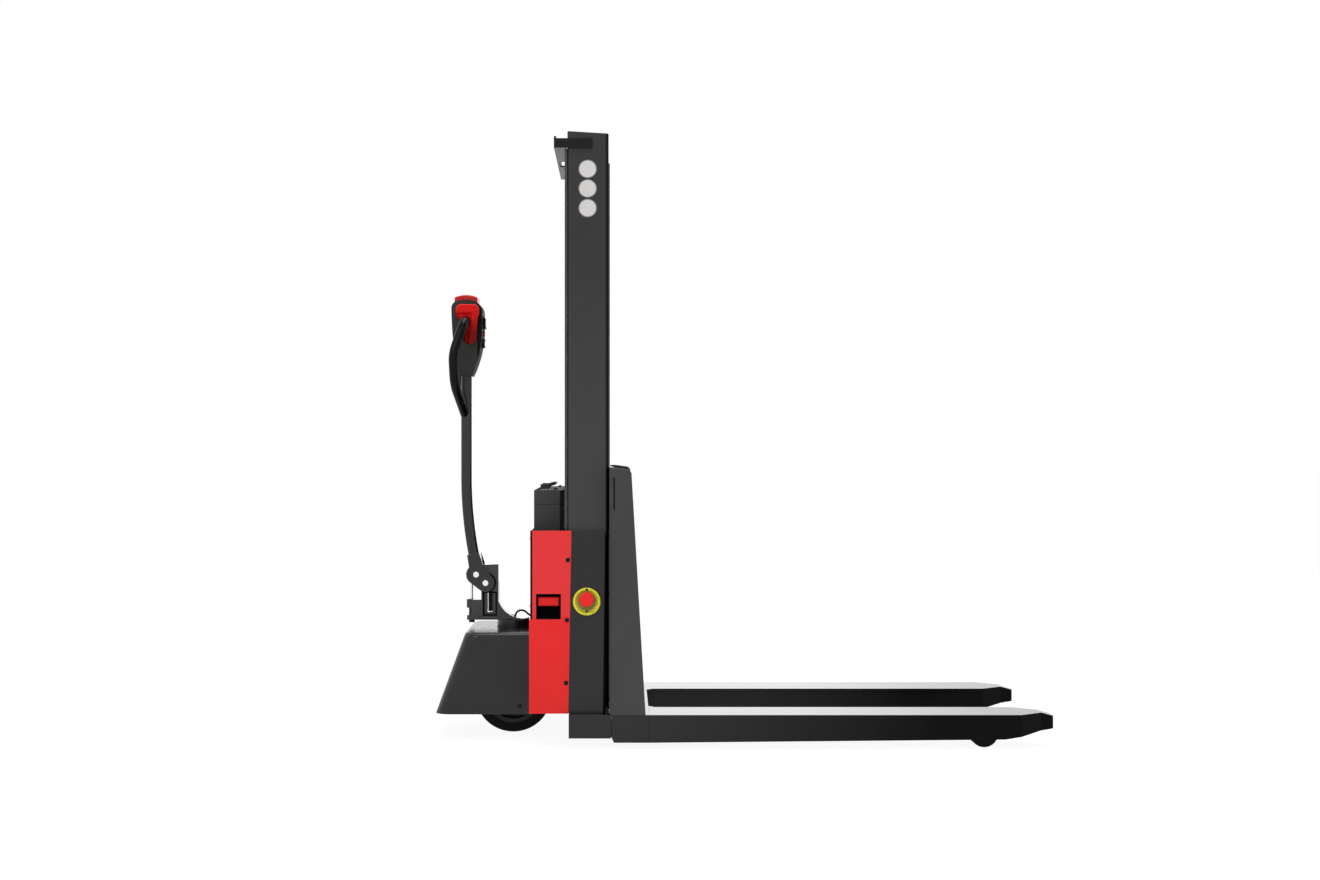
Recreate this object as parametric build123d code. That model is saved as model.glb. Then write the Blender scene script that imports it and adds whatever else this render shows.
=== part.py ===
"""Electric fork-over stacker, modelled as the pieces that it is put together from.

Sizes are millimetres. X runs from the drive cover to the fork tips, Y across, Z up. The origin is on
the floor, under the middle of the truck's length and width. "Near" pieces are on the -Y side.
"""
import math
import os
from build123d import *

os.makedirs("parts", exist_ok=True)

# Clearances
RUN_FIT = 0.05  # radial, a bore that turns or slides on its pin
SEAT_FIT = 0.02  # radial, a pin held in a bore of its own body
PASS_GAP = 0.3  # between faces that pass each other
WORK_GAP = 2.0  # between plates that move past each other

# Forks
FORK_LENGTH = 1150.0
FORK_WIDTH = 151.0
FORK_SPREAD = 685.0
FORK_TOP_Z = 97.0
FORK_PLATE = 6.0
FLANGE_ROOT_Z = 19.0
FLANGE_TIP_Z = 28.0
NOSE_LENGTH = 102.0
NOSE_TAPER = 47.0
NOSE_SLOPE_LENGTH = 36.0
NOSE_TOP_Z = 87.0
NOSE_BOTTOM_Z = 52.0
NOSE_RISE_LENGTH = 147.0
NOSE_ROUND = 10.0
ROOT_CORNER = 20.0
HEEL_LIP = 30.0

# Carriage
HEEL_DEPTH = 102.0
CARRIAGE_BAR = 10.0
CARRIAGE_HEIGHT = 697.0
CARRIAGE_TOP_FALL = 8.0
GUSSET_PLATE = 8.0
GUSSET_HEAD = 52.0
GUSSET_FOOT_SETBACK = 10.0
GUSSET_CORNER = 14.0
GUSSET_SLOT_DEPTH = 6.0
GUSSET_SLOT_LENGTH = 90.0
GUSSET_SLOT_DROP = 30.0
HEEL_TAIL = 7.0
POST_WIDTH = 120.0
UPPER_BAR_HEIGHT = 90.0
LOWER_BAR_HEIGHT = 100.0
LOWER_BAR_Z = 200.0
BRACKET_PLATE = 10.0
BRACKET_GAP = 8.0
BRACKET_REACH = 30.0
BRACKET_MARGIN = 50.0
ROLLER_WIDTH = 40.0
ROLLER_AXLE_R = 12.5
ROLLER_CHAMFER = 3.0
LOWER_ROLLER_Z = 170.0
ROLLER_SPACING = 370.0

# Support legs and base
LEG_WIDTH = 120.0
LEG_HEIGHT = 50.0
LEG_BOTTOM_Z = 32.0
LEG_WALL = 12.0
LEG_ROOF = 8.0
LOAD_WHEEL_R = 40.0
LOAD_WHEEL_WIDTH = 80.0
LOAD_WHEEL_SETBACK = 200.0
LOAD_AXLE_R = 10.0
BASE_LENGTH = 104.0
BASE_BOTTOM_Z = 31.0
BASE_WALL = 8.0
BASE_SETBACK = 8.0

# Mast
MAST_INSET = 42.5
MAST_HEIGHT = 1747.0
MAST_TOP_FALL = 7.0
MAST_GAP = 2.5
MAST_DEPTH = 117.0
COLUMN_WIDTH = 60.0
COLUMN_WEB = 10.0
COLUMN_FLANGE = 12.0
COLUMN_CORNER = 9.0
BEAM_THICK = 20.0
TOP_BEAM_HEIGHT = 115.0
TOP_BEAM_DROP = 12.0
ANCHOR_BEAM_Z = 300.0
ANCHOR_BEAM_HEIGHT = 50.0
STRAP_PLATE = 6.0
STRAP_HEIGHT = 27.0
STRAP_DROP = 21.0
STRAP_REACH = 38.0
STRAP_LAP = 70.0
STRAP_SHELF = 4.0
STRAP_SHELF_GAP = 96.0
STRAP_LIP = 7.0
GUARD_SHEET = 3.5
GUARD_BOTTOM_Z = 616.0
GUARD_EDGE = 8.0

# Lift cylinder, crosshead and chains
BARREL_R = 30.0
BARREL_BORE_R = 22.0
BARREL_LENGTH = 783.0
BARREL_FLOOR = 20.0
GLAND_R = 34.0
GLAND_HEIGHT = 25.0
ROD_R = 20.0
ROD_SHOW = 15.0
CROSSHEAD_DEPTH = 44.0
CROSSHEAD_WIDTH = 84.0
CROSSHEAD_HEIGHT = 55.0
SHEAVE_R = 50.0
SHEAVE_ROOT_R = 40.0
SHEAVE_WIDTH = 32.0
SHEAVE_FLANGE = 3.5
SHEAVE_SHAFT_R = 12.0
SHEAVE_CENTRE_Y = 60.0
CHAIN_THICK = 10.0
CHAIN_WIDTH = 24.0
CHAIN_LUG_HEIGHT = 40.0

# Body between mast and drive
FIREWALL_GAP = 2.0
FIREWALL_PLATE = 6.0
BODY_DEPTH = 94.0
BODY_PANEL = 3.0
BODY_TOP_Z = 614.0
SIDE_PLATE = 8.0
SIDE_PLATE_SETBACK = 9.5
SIDE_PLATE_LEAN = 6.0
COVER_SHEET = 3.0
COVER_LAP = 20.0
COVER_LEAN = 8.5
COVER_STEP_Z = 362.0
COVER_STEP = 9.0
COVER_RETURN = 18.0
COVER_BOTTOM_Z = 96.0
SHELF_Z = 318.0
SHELF_PLATE = 8.0
FLOOR_PLATE = 4.0
DRIVE_BAY_HALF = 172.0
POWER_UNIT_HEIGHT = 139.0
PUMP_MOTOR_R = 40.0
PUMP_MOTOR_HEIGHT = 70.0
CONTROLLER_HEIGHT = 129.0
CONTROLLER_FIN = 12.0
CONTROLLER_FINS = 6
UNIT_MARGIN = 8.0

# Window in the near cover, its recess and the pull plug
WINDOW_LENGTH = 70.0
WINDOW_HEIGHT = 72.0
WINDOW_BOTTOM_Z = 363.0
WINDOW_SETBACK = 30.0
RECESS_DEPTH = 49.0
RECESS_WALL = 2.5
PLUG_HEIGHT = 26.0
PLUG_DROP = 9.0
PLUG_GRIP_DEPTH = 20.0
PLUG_SIDE_GAP = 2.0
PLUG_BODY_INSET = 6.0

# Emergency stop
ESTOP_Z = 414.0
ESTOP_SETBACK = 61.5
ESTOP_COLLAR_R = 39.0
ESTOP_COLLAR_BASE = 8.0
ESTOP_COLLAR_RIM = 14.0
ESTOP_RIM_WALL = 8.0
ESTOP_RIM_ROUND = 3.0
ESTOP_NOTCH = 18.0
ESTOP_OFFSET = 7.0
ESTOP_BUTTON_R = 20.5
ESTOP_BUTTON_THICK = 14.0
ESTOP_BUTTON_GAP = 10.0
ESTOP_NECK_R = 12.0
ESTOP_BUTTON_ROUND = 4.0

# Battery
BATTERY_DEPTH = 86.0
BATTERY_SIDE_GAP = 70.0
BATTERY_HEIGHT = 401.0
BATTERY_ROUND = 2.5
BATTERY_REAR_GAP = 4.0
BATTERY_SEAM = 1.0
BATTERY_LID = 42.0
LUG_LENGTH = 24.0
LUG_HEIGHT = 13.0
LUG_WIDTH = 20.0
HANDLE_SPAN = 112.0
HANDLE_REACH = 31.0
HANDLE_BAR_R = 4.5
HANDLE_PIN_R = 4.0
HANDLE_TILT = 16.0

# Drive unit
STEER_OFFSET = 64.0
DRIVE_WHEEL_R = 115.0
DRIVE_WHEEL_WIDTH = 76.0
DRIVE_TYRE_THICK = 28.0
DRIVE_AXLE_R = 17.0
DRIVE_HUB_WEB = 24.0
DRIVE_HUB_BOSS_R = 34.0
YOKE_ARM = 12.0
YOKE_ARM_GAP = 14.0
YOKE_ARM_HALF = 40.0
YOKE_DISC_R = 85.0
YOKE_DISC = 18.0
YOKE_WHEEL_GAP = 16.0
MOTOR_R = 45.0
MOTOR_LENGTH = 82.0
BRAKE_R = 35.0
BRAKE_LENGTH = 28.0
MOUNT_PLATE = 12.0
MOUNT_GAP = 6.0
MOUNT_REAR = 110.0
MOUNT_RIB = 6.0
MOUNT_RIB_HEIGHT = 60.0
BEARING_R = 85.0
BEARING_BORE_R = 62.0
BEARING_HEIGHT = 18.0
TURNTABLE_R = 50.0
TURNTABLE_TOP_Z = 334.0
DRIVE_COVER_LENGTH = 283.5
DRIVE_COVER_WIDTH = 374.0
DRIVE_COVER_TOP_Z = 311.0
DRIVE_COVER_BOTTOM_Z = 75.0
DRIVE_COVER_SLOPE = 87.0
DRIVE_COVER_WALL = 5.0
DRIVE_COVER_CORNER = 42.0
DRIVE_COVER_ROUND = 14.0

# Tiller bracket and gas spring
TILLER_OFFSET = 82.5
TILLER_PIVOT_Z = 444.5
BRACKET_HALF = 33.0
BRACKET_TOP_Z = 500.0
BRACKET_FOOT = 14.0
BRACKET_BACK = 13.5
BRACKET_FRONT = 38.0
BRACKET_FOOT_TAIL = 56.0
BRACKET_BOSS_R = 24.0
BRACKET_BLOCK_SETBACK = 2.0
BRACKET_BLOCK_HEIGHT = 60.0
BRACKET_LUG_BACK = 14.0
BRACKET_LUG_HEIGHT = 26.0
BRACKET_LUG_HALF = 13.0
WEB_HEIGHT = 57.0
WEB_END_HEIGHT = 6.0
WEB_TIP = 46.0
POCKET_DEPTH = 6.0
POCKET_WALL = 7.0
POCKET_HEIGHT = 68.0
SLOT_WIDTH = 15.0
SLOT_HEIGHT = 58.0
SLOT_SILL = 8.0
PIN_R = 8.5
PIN_HEAD = 3.0
GAS_PIN_BACK = 27.9
GAS_PIN_UP = 25.2
GAS_BODY_R = 9.0
GAS_BODY_TOP_Z = 392.0
GAS_BODY_BELOW = 10.0
GAS_ROD_R = 4.0
GAS_ROD_BACK = 16.5
GAS_ROD_INSERT = 12.0
GAS_END_WALL = 6.0
GAS_EYE_SHIFT = 10.0
GAS_EYE_GAP = 1.5
GAS_EYE_WALL = 4.0
GAS_EYE_HALF = 8.0
GAS_EYE_SIDE_GAP = 3.0

# Tiller arm and head
CHEEK_PLATE = 8.0
CHEEK_UPPER_R = 30.0
CHEEK_LOWER_R = 27.0
ARM_DEPTH = 32.0
ARM_WIDTH = 60.0
ARM_CORNER = 8.0
ARM_WALL = 4.0
ARM_FOOT_Z = 512.0
ARM_FOOT_HEIGHT = 20.0
ARM_FOOT_BACK = 33.5
ARM_FOOT_MARGIN = 2.0
ARM_FOOT_BELOW = 8.0
ARM_BEND = 25.0
ARM_BEND_HEIGHT = 248.0
HEAD_BOTTOM_Z = 1062.0
HEAD_HEIGHT = 226.0
HEAD_HALF_TOP = 60.0
HEAD_HALF_BOTTOM = 38.0
HEAD_BACK = 42.0
HEAD_FRONT = 49.0
HEAD_SHOULDER_DROP = 9.0
HEAD_SHOULDER_ROUND = 22.0
HEAD_BROW_ROUND = 36.0
HEAD_NECK_BACK = 22.0
HEAD_NECK_FRONT = 18.0
HEAD_CHIN_HEIGHT = 128.0
HEAD_CHIN_MIDDLE = 48.0
HEAD_CHIN_BACK = 13.0
PANEL_THICK = 14.0
DISPLAY_PROUD = 8.0
DISPLAY_HALF = 26.0
DISPLAY_HEIGHT = 34.0
DISPLAY_DROP = 50.0
BUTTON_PROUD = 5.0
BUTTON_DEPTH = 6.0
BUTTON_TRAVEL = 3.0
HORN_R = 9.0
HORN_DROP = 98.0
ROCKER_HALF = 20.0
ROCKER_HEIGHT = 30.0
ROCKER_DROP = 127.0
ROCKER_PIN_R = 3.0
BELLY_LENGTH = 68.0
BELLY_HALF = 40.0
BELLY_PROUD = 16.0
BELLY_SKIRT = 30.0
BELLY_CROWN = 7.0
BELLY_TRAVEL = 8.0
GRIP_R = 14.0
GRIP_ROOT_DROP = 65.0
GRIP_ROOT_X = 3.0
GRIP_SHOULDER_Y = 120.0
GRIP_SHOULDER_R = 32.0
GRIP_BOW_Y = 135.0
GRIP_BOW_BACK = 33.0
GRIP_BOW_DROP = 100.0
GRIP_BOW_R = 90.0
GRIP_LOW_Y = 105.0
GRIP_LOW_BACK = 31.0
GRIP_LOW_DROP = 190.0
GRIP_LOW_R = 120.0
GRIP_END_DROP = 292.0
PADDLE_GAP = 4.0
PADDLE_THICK = 22.0
PADDLE_HUB_R = 20.0
PADDLE_WING_BACK = 30.0
PADDLE_WING_FRONT = 39.0
PADDLE_WING_TOP = 50.0
PADDLE_WING_LOW = 8.0
PADDLE_WING_ROUND = 15.0
PADDLE_LOBE_BACK = 8.0
PADDLE_LOBE_FRONT = 38.0
PADDLE_LOBE_DROP = 68.0
PADDLE_LOBE_ROUND = 17.0
PADDLE_TIP_SHIFT = 9.0
PADDLE_FACE_ROUND = 5.0

# Cable from the turntable to the rear panel
CABLE_R = 3.0
CABLE_HOLE_R = 9.0
CABLE_START_DROP = 24.0
CABLE_RISE = 18.0
CABLE_REACH = 27.4
CABLE_CREST = 11.4
CABLE_FALL = 23.0

# Places along the truck, worked out from the sizes above
body_length = (
    HEEL_DEPTH + CARRIAGE_BAR + MAST_GAP + MAST_DEPTH + FIREWALL_GAP
    + FIREWALL_PLATE + BODY_DEPTH + BODY_PANEL + DRIVE_COVER_LENGTH
)
tip_x = (FORK_LENGTH + body_length) / 2
heel_x = tip_x - FORK_LENGTH
bar_front_x = heel_x - HEEL_DEPTH
bar_rear_x = bar_front_x - CARRIAGE_BAR
heel_tail_x = bar_rear_x + HEEL_TAIL
mast_front_x = bar_rear_x - MAST_GAP
mast_rear_x = mast_front_x - MAST_DEPTH
mast_x = (mast_front_x + mast_rear_x) / 2
base_front_x = mast_front_x - BASE_SETBACK
base_rear_x = base_front_x - BASE_LENGTH
firewall_front_x = mast_rear_x - FIREWALL_GAP
firewall_rear_x = firewall_front_x - FIREWALL_PLATE
panel_front_x = firewall_rear_x - BODY_DEPTH
panel_rear_x = panel_front_x - BODY_PANEL
cover_rear_x = panel_rear_x - DRIVE_COVER_LENGTH
steer_x = panel_rear_x - STEER_OFFSET
pivot_x = steer_x - TILLER_OFFSET
load_wheel_x = tip_x - LOAD_WHEEL_SETBACK

# Places across the truck
fork_out_y = FORK_SPREAD / 2
fork_in_y = fork_out_y - FORK_WIDTH
fork_y = (fork_out_y + fork_in_y) / 2
mast_out_y = fork_out_y - MAST_INSET
mast_in_y = mast_out_y - COLUMN_WIDTH
side_plate_y = mast_out_y + SIDE_PLATE
cover_y = side_plate_y + COVER_SHEET

# Heights
fork_under_z = FORK_TOP_Z - FORK_PLATE
carriage_top_z = FORK_TOP_Z + CARRIAGE_HEIGHT
leg_top_z = LEG_BOTTOM_Z + LEG_HEIGHT
yoke_disc_z = 2 * DRIVE_WHEEL_R + YOKE_WHEEL_GAP
mount_z = yoke_disc_z + YOKE_DISC + MOUNT_GAP
bearing_z = mount_z + MOUNT_PLATE
head_top_z = HEAD_BOTTOM_Z + HEAD_HEIGHT
gland_top_z = FORK_TOP_Z + BARREL_LENGTH + GLAND_HEIGHT
crosshead_z = gland_top_z + ROD_SHOW
sheave_z = crosshead_z + CROSSHEAD_HEIGHT / 2


def block(x0, x1, y0, y1, z0, z1):
    """Box between two corners."""
    centre = ((x0 + x1) / 2, (y0 + y1) / 2, (z0 + z1) / 2)
    return Pos(*centre) * Box(abs(x1 - x0), abs(y1 - y0), abs(z1 - z0))


def slab_y(face, y0, y1):
    """Sketch drawn with its axes along X and Z, made solid between two Y planes."""
    return Pos(0, y0, 0) * extrude(Plane.XZ * face, y1 - y0, dir=(0, 1, 0))


def slab_z(face, z0, z1):
    """Sketch drawn in plan, made solid between two heights."""
    return Pos(0, 0, z0) * extrude(face, z1 - z0, dir=(0, 0, 1))


def outline(*points):
    """Flat face inside straight edges."""
    return make_face(Polyline(*points, close=True))


def link_face(first, first_r, second, second_r):
    """Flat link: two circles joined by their outer tangents."""
    ends = (Pos(*first) * Circle(first_r)).edges() + (Pos(*second) * Circle(second_r)).edges()
    return make_hull(ends)


def rod_y(x, z, radius, y0, y1):
    """Round bar along Y."""
    return Pos(x, (y0 + y1) / 2, z) * Rot(90, 0, 0) * Cylinder(radius, abs(y1 - y0))


def rod_z(x, y, radius, z0, z1):
    """Round bar along Z."""
    return Pos(x, y, (z0 + z1) / 2) * Cylinder(radius, z1 - z0)


def both_sides(shape):
    """The near piece and its mirror image as two separate solids."""
    return Compound(children=[*shape.solids(), *mirror(shape, Plane.XZ).solids()])


def far_side(shape):
    """Mirror image of a near piece."""
    return mirror(shape, Plane.XZ)


def group(*shapes):
    """Separate solids that share one node."""
    return Compound(children=[solid for shape in shapes for solid in shape.solids()])


def save(node, shape):
    """Write one node."""
    export_step(shape, f"parts/{node}.step")


def fork_blade():
    """Inverted channel with a nose that tapers in plan and rises from below."""
    taper_x = tip_x - NOSE_LENGTH
    slope_x = tip_x - NOSE_SLOPE_LENGTH
    plan = outline(
        (heel_x, -fork_out_y),
        (taper_x, -fork_out_y),
        (slope_x, -fork_out_y + NOSE_TAPER),
        (tip_x, -fork_out_y + NOSE_TAPER),
        (tip_x, -fork_in_y - NOSE_TAPER),
        (slope_x, -fork_in_y - NOSE_TAPER),
        (taper_x, -fork_in_y),
        (heel_x, -fork_in_y),
    )
    side = outline(
        (heel_x, FORK_TOP_Z),
        (slope_x, FORK_TOP_Z),
        (tip_x, NOSE_TOP_Z),
        (tip_x, NOSE_BOTTOM_Z),
        (tip_x - NOSE_RISE_LENGTH, FLANGE_TIP_Z),
        (heel_x, FLANGE_ROOT_Z),
    )
    blade = slab_z(plan, 0, FORK_TOP_Z) & slab_y(side, -fork_out_y, -fork_in_y)
    blade = fillet(blade.edges().filter_by(Axis.Z).group_by(Axis.X)[-1], NOSE_ROUND)
    channel = block(
        heel_x - 1, taper_x,
        -fork_out_y + FORK_PLATE, -fork_in_y - FORK_PLATE,
        0, fork_under_z,
    )
    return blade - channel


def fork_heel():
    """Plate that joins the forks, with their flanges, a front lip and corner plates at the roots."""
    tail = outline(
        (heel_tail_x, FORK_TOP_Z),
        (heel_tail_x, BASE_BOTTOM_Z),
        (heel_tail_x + (BASE_BOTTOM_Z - FLANGE_ROOT_Z) / 2, FLANGE_ROOT_Z),
        (heel_x, FLANGE_ROOT_Z),
        (heel_x, FORK_TOP_Z),
    )
    corner = outline(
        (heel_x, -fork_in_y),
        (heel_x + ROOT_CORNER, -fork_in_y),
        (heel_x, -fork_in_y + ROOT_CORNER),
    )
    plate_y = fork_out_y - FORK_PLATE
    plate = block(bar_front_x, heel_x, -plate_y, plate_y, fork_under_z, FORK_TOP_Z)
    lip = block(
        heel_x - FORK_PLATE, heel_x,
        -fork_in_y, fork_in_y,
        FORK_TOP_Z - HEEL_LIP, fork_under_z,
    )
    side = group(
        slab_y(tail, -fork_out_y, -fork_out_y + FORK_PLATE),
        block(bar_front_x, heel_x, -fork_in_y - FORK_PLATE, -fork_in_y, FLANGE_ROOT_Z, fork_under_z),
        slab_z(corner, fork_under_z, FORK_TOP_Z),
    )
    return group(plate, lip, side, far_side(side))


def gusset():
    """Tapered side plate of the carriage, with a slot beside the post near its top."""
    head_x = bar_front_x + GUSSET_HEAD
    slot_top_z = carriage_top_z - GUSSET_SLOT_DROP
    slot_bottom_z = slot_top_z - GUSSET_SLOT_LENGTH
    face = outline(
        (bar_rear_x + CARRIAGE_BAR / 2, FORK_TOP_Z),
        (bar_front_x, slot_bottom_z),
        (bar_front_x + GUSSET_SLOT_DEPTH, slot_bottom_z),
        (bar_front_x + GUSSET_SLOT_DEPTH, slot_top_z),
        (bar_rear_x, slot_top_z),
        (bar_rear_x, carriage_top_z),
        (head_x, carriage_top_z - CARRIAGE_TOP_FALL),
        (heel_x - GUSSET_FOOT_SETBACK, FORK_TOP_Z),
    )
    plate = slab_y(face, -fork_out_y, -fork_out_y + GUSSET_PLATE)
    head_corner = (head_x, -fork_out_y, carriage_top_z)
    front_edge = plate.edges().filter_by(Axis.Y).sort_by_distance(head_corner)[0]
    return fillet(front_edge, GUSSET_CORNER)


def carriage_post():
    """Flat upright bar behind the heel plate."""
    outer_y = -fork_out_y + GUSSET_PLATE
    return block(bar_rear_x, bar_front_x, outer_y, outer_y + POST_WIDTH, fork_under_z, carriage_top_z)


def carriage_crossbars():
    """Upper bar, and lower bar with the two lugs that take the lift chains."""
    half = fork_out_y - GUSSET_PLATE - POST_WIDTH
    top_z = carriage_top_z - CARRIAGE_TOP_FALL
    upper = block(bar_rear_x, bar_front_x, -half, half, top_z - UPPER_BAR_HEIGHT, top_z)
    lower = block(bar_rear_x, bar_front_x, -half, half, LOWER_BAR_Z, LOWER_BAR_Z + LOWER_BAR_HEIGHT)
    lug_rear_x = mast_x + SHEAVE_ROOT_R
    for side in (-1, 1):
        centre_y = side * SHEAVE_CENTRE_Y
        lower += block(
            lug_rear_x, bar_rear_x,
            centre_y - SHEAVE_WIDTH / 2, centre_y + SHEAVE_WIDTH / 2,
            LOWER_BAR_Z, LOWER_BAR_Z + CHAIN_LUG_HEIGHT,
        )
    return group(upper, lower)


def roller_heights():
    """Heights of the lower and the upper carriage roller."""
    return (LOWER_ROLLER_Z, LOWER_ROLLER_Z + ROLLER_SPACING)


def roller_bracket():
    """Plate that reaches in between the columns, with a stub axle for each roller."""
    outer_y = -(mast_in_y - BRACKET_GAP)
    low_z, high_z = roller_heights()
    plate = block(
        mast_x - BRACKET_REACH, bar_rear_x,
        outer_y, outer_y + BRACKET_PLATE,
        low_z - BRACKET_MARGIN, high_z + BRACKET_MARGIN,
    )
    rear_edges = plate.edges().filter_by(Axis.Y).group_by(Axis.X)[0]
    plate = fillet(rear_edges, BRACKET_REACH / 2)
    for height in roller_heights():
        plate += rod_y(mast_x, height, ROLLER_AXLE_R, outer_y, -(mast_in_y + PASS_GAP + ROLLER_WIDTH))
    return plate


def carriage_roller(height):
    """Steel roller that runs between the flanges of its column."""
    radius = MAST_DEPTH / 2 - COLUMN_FLANGE - PASS_GAP
    inner_y = -(mast_in_y + PASS_GAP)
    outer_y = inner_y - ROLLER_WIDTH
    wheel = rod_y(mast_x, height, radius, outer_y, inner_y)
    wheel = chamfer(wheel.edges().filter_by(GeomType.CIRCLE), ROLLER_CHAMFER)
    return wheel - rod_y(mast_x, height, ROLLER_AXLE_R + RUN_FIT, outer_y, inner_y)


def support_leg():
    """Leg inside the fork: a channel that ends in two cheeks for the load wheel, with the axle."""
    end_x = load_wheel_x + LOAD_WHEEL_R
    wheel_bay_x = load_wheel_x - LOAD_WHEEL_R - FORK_PLATE
    near_y = -(fork_y + LEG_WIDTH / 2)
    far_y = -(fork_y - LEG_WIDTH / 2)
    leg = block(base_front_x, end_x, near_y, far_y, LEG_BOTTOM_Z, leg_top_z)
    leg -= block(
        base_front_x, wheel_bay_x - LEG_WALL,
        near_y + LEG_WALL, far_y - LEG_WALL,
        LEG_BOTTOM_Z, leg_top_z - LEG_ROOF,
    )
    leg -= block(wheel_bay_x, end_x, near_y + LEG_WALL, far_y - LEG_WALL, LEG_BOTTOM_Z, leg_top_z)
    top_corner = leg.edges().filter_by(Axis.Y).group_by(Axis.X)[-1]
    leg = chamfer(top_corner, LEG_HEIGHT / 4)
    return leg - rod_y(load_wheel_x, LOAD_WHEEL_R, LOAD_AXLE_R + SEAT_FIT, near_y, far_y)


def load_axle():
    """Pin across the leg's two cheeks."""
    return rod_y(
        load_wheel_x, LOAD_WHEEL_R, LOAD_AXLE_R,
        -(fork_y + LEG_WIDTH / 2), -(fork_y - LEG_WIDTH / 2),
    )


def load_wheel():
    """Solid roller with rounded edges."""
    near_y = -(fork_y + LOAD_WHEEL_WIDTH / 2)
    far_y = -(fork_y - LOAD_WHEEL_WIDTH / 2)
    wheel = rod_y(load_wheel_x, LOAD_WHEEL_R, LOAD_WHEEL_R, near_y, far_y)
    wheel = fillet(wheel.edges().filter_by(GeomType.CIRCLE), ROLLER_CHAMFER)
    return wheel - rod_y(load_wheel_x, LOAD_WHEEL_R, LOAD_AXLE_R + RUN_FIT, near_y, far_y)


def base_frame():
    """Cross box under the mast, open below: a top plate, four walls and an apron towards each fork."""
    wall_z = FORK_TOP_Z - BASE_WALL
    top = block(base_rear_x, base_front_x, -fork_out_y, fork_out_y, wall_z, FORK_TOP_Z)
    end = block(
        base_rear_x + BASE_WALL, base_front_x - BASE_WALL,
        -fork_out_y, -fork_out_y + BASE_WALL,
        BASE_BOTTOM_Z, wall_z,
    )
    rear = block(base_rear_x, base_rear_x + BASE_WALL, -fork_out_y, fork_out_y, BASE_BOTTOM_Z, wall_z)
    front = block(base_front_x - BASE_WALL, base_front_x, -fork_out_y, fork_out_y, BASE_BOTTOM_Z, wall_z)
    apron = block(
        base_front_x, heel_tail_x - WORK_GAP,
        -fork_out_y, -fork_out_y + FORK_PLATE,
        BASE_BOTTOM_Z, FORK_TOP_Z,
    )
    return group(top, rear, front, end, far_side(end), apron, far_side(apron))


def mast_column():
    """Rolled channel, open towards the other column, cut with a slight slope at the top."""
    plan = outline(
        (mast_rear_x, -mast_out_y),
        (mast_front_x, -mast_out_y),
        (mast_front_x, -mast_in_y),
        (mast_front_x - COLUMN_FLANGE, -mast_in_y),
        (mast_front_x - COLUMN_FLANGE, -mast_out_y + COLUMN_WEB),
        (mast_rear_x + COLUMN_FLANGE, -mast_out_y + COLUMN_WEB),
        (mast_rear_x + COLUMN_FLANGE, -mast_in_y),
        (mast_rear_x, -mast_in_y),
    )
    plan = fillet(plan.vertices().group_by(Axis.Y)[0], COLUMN_CORNER)
    side = outline(
        (mast_rear_x, FORK_TOP_Z),
        (mast_front_x, FORK_TOP_Z),
        (mast_front_x, MAST_HEIGHT - MAST_TOP_FALL),
        (mast_rear_x, MAST_HEIGHT),
    )
    return slab_z(plan, FORK_TOP_Z, MAST_HEIGHT) & slab_y(side, -mast_out_y, -mast_in_y)


def mast_beams():
    """Top beam, and the low beam that the chains are anchored to."""
    top_z = MAST_HEIGHT - TOP_BEAM_DROP
    beam_x = mast_rear_x + BEAM_THICK
    top = block(mast_rear_x, beam_x, -mast_in_y, mast_in_y, top_z - TOP_BEAM_HEIGHT, top_z)
    low = block(
        mast_rear_x, beam_x,
        -mast_in_y, mast_in_y,
        ANCHOR_BEAM_Z, ANCHOR_BEAM_Z + ANCHOR_BEAM_HEIGHT,
    )
    return group(top, low)


def mast_strap():
    """Two flat arms on the outside of the columns, a bar across behind them and two corner shelves."""
    top_z = MAST_HEIGHT - STRAP_DROP
    low_z = top_z - STRAP_HEIGHT
    rear_x = mast_rear_x - STRAP_REACH
    arm_y = mast_out_y + STRAP_PLATE
    arm = block(rear_x, mast_rear_x + STRAP_LAP, -arm_y, -mast_out_y, low_z, top_z)
    bar = block(rear_x, rear_x + STRAP_PLATE, -mast_out_y, mast_out_y, low_z, top_z + STRAP_LIP)
    shelf = block(
        rear_x + STRAP_PLATE, mast_rear_x - GUARD_SHEET,
        -mast_out_y, -STRAP_SHELF_GAP / 2,
        low_z, low_z + STRAP_SHELF,
    )
    return group(arm, far_side(arm), bar + shelf + far_side(shelf))


def mast_guard():
    """Clear sheet behind the columns."""
    half = mast_out_y - GUARD_EDGE
    top_z = MAST_HEIGHT - STRAP_DROP - STRAP_HEIGHT
    return block(mast_rear_x - GUARD_SHEET, mast_rear_x, -half, half, GUARD_BOTTOM_Z, top_z)


def lift_cylinder():
    """Barrel with a closed foot and a gland that guides the rod."""
    foot_z = FORK_TOP_Z
    top_z = foot_z + BARREL_LENGTH
    barrel = rod_z(mast_x, 0, BARREL_R, foot_z, top_z)
    barrel += rod_z(mast_x, 0, GLAND_R, top_z, gland_top_z)
    barrel -= rod_z(mast_x, 0, BARREL_BORE_R, foot_z + BARREL_FLOOR, top_z)
    return barrel - rod_z(mast_x, 0, ROD_R + RUN_FIT, top_z, gland_top_z)


def piston_rod():
    """Rod from near the barrel's foot up to the crosshead."""
    return rod_z(mast_x, 0, ROD_R, FORK_TOP_Z + 2 * BARREL_FLOOR, crosshead_z)


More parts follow.
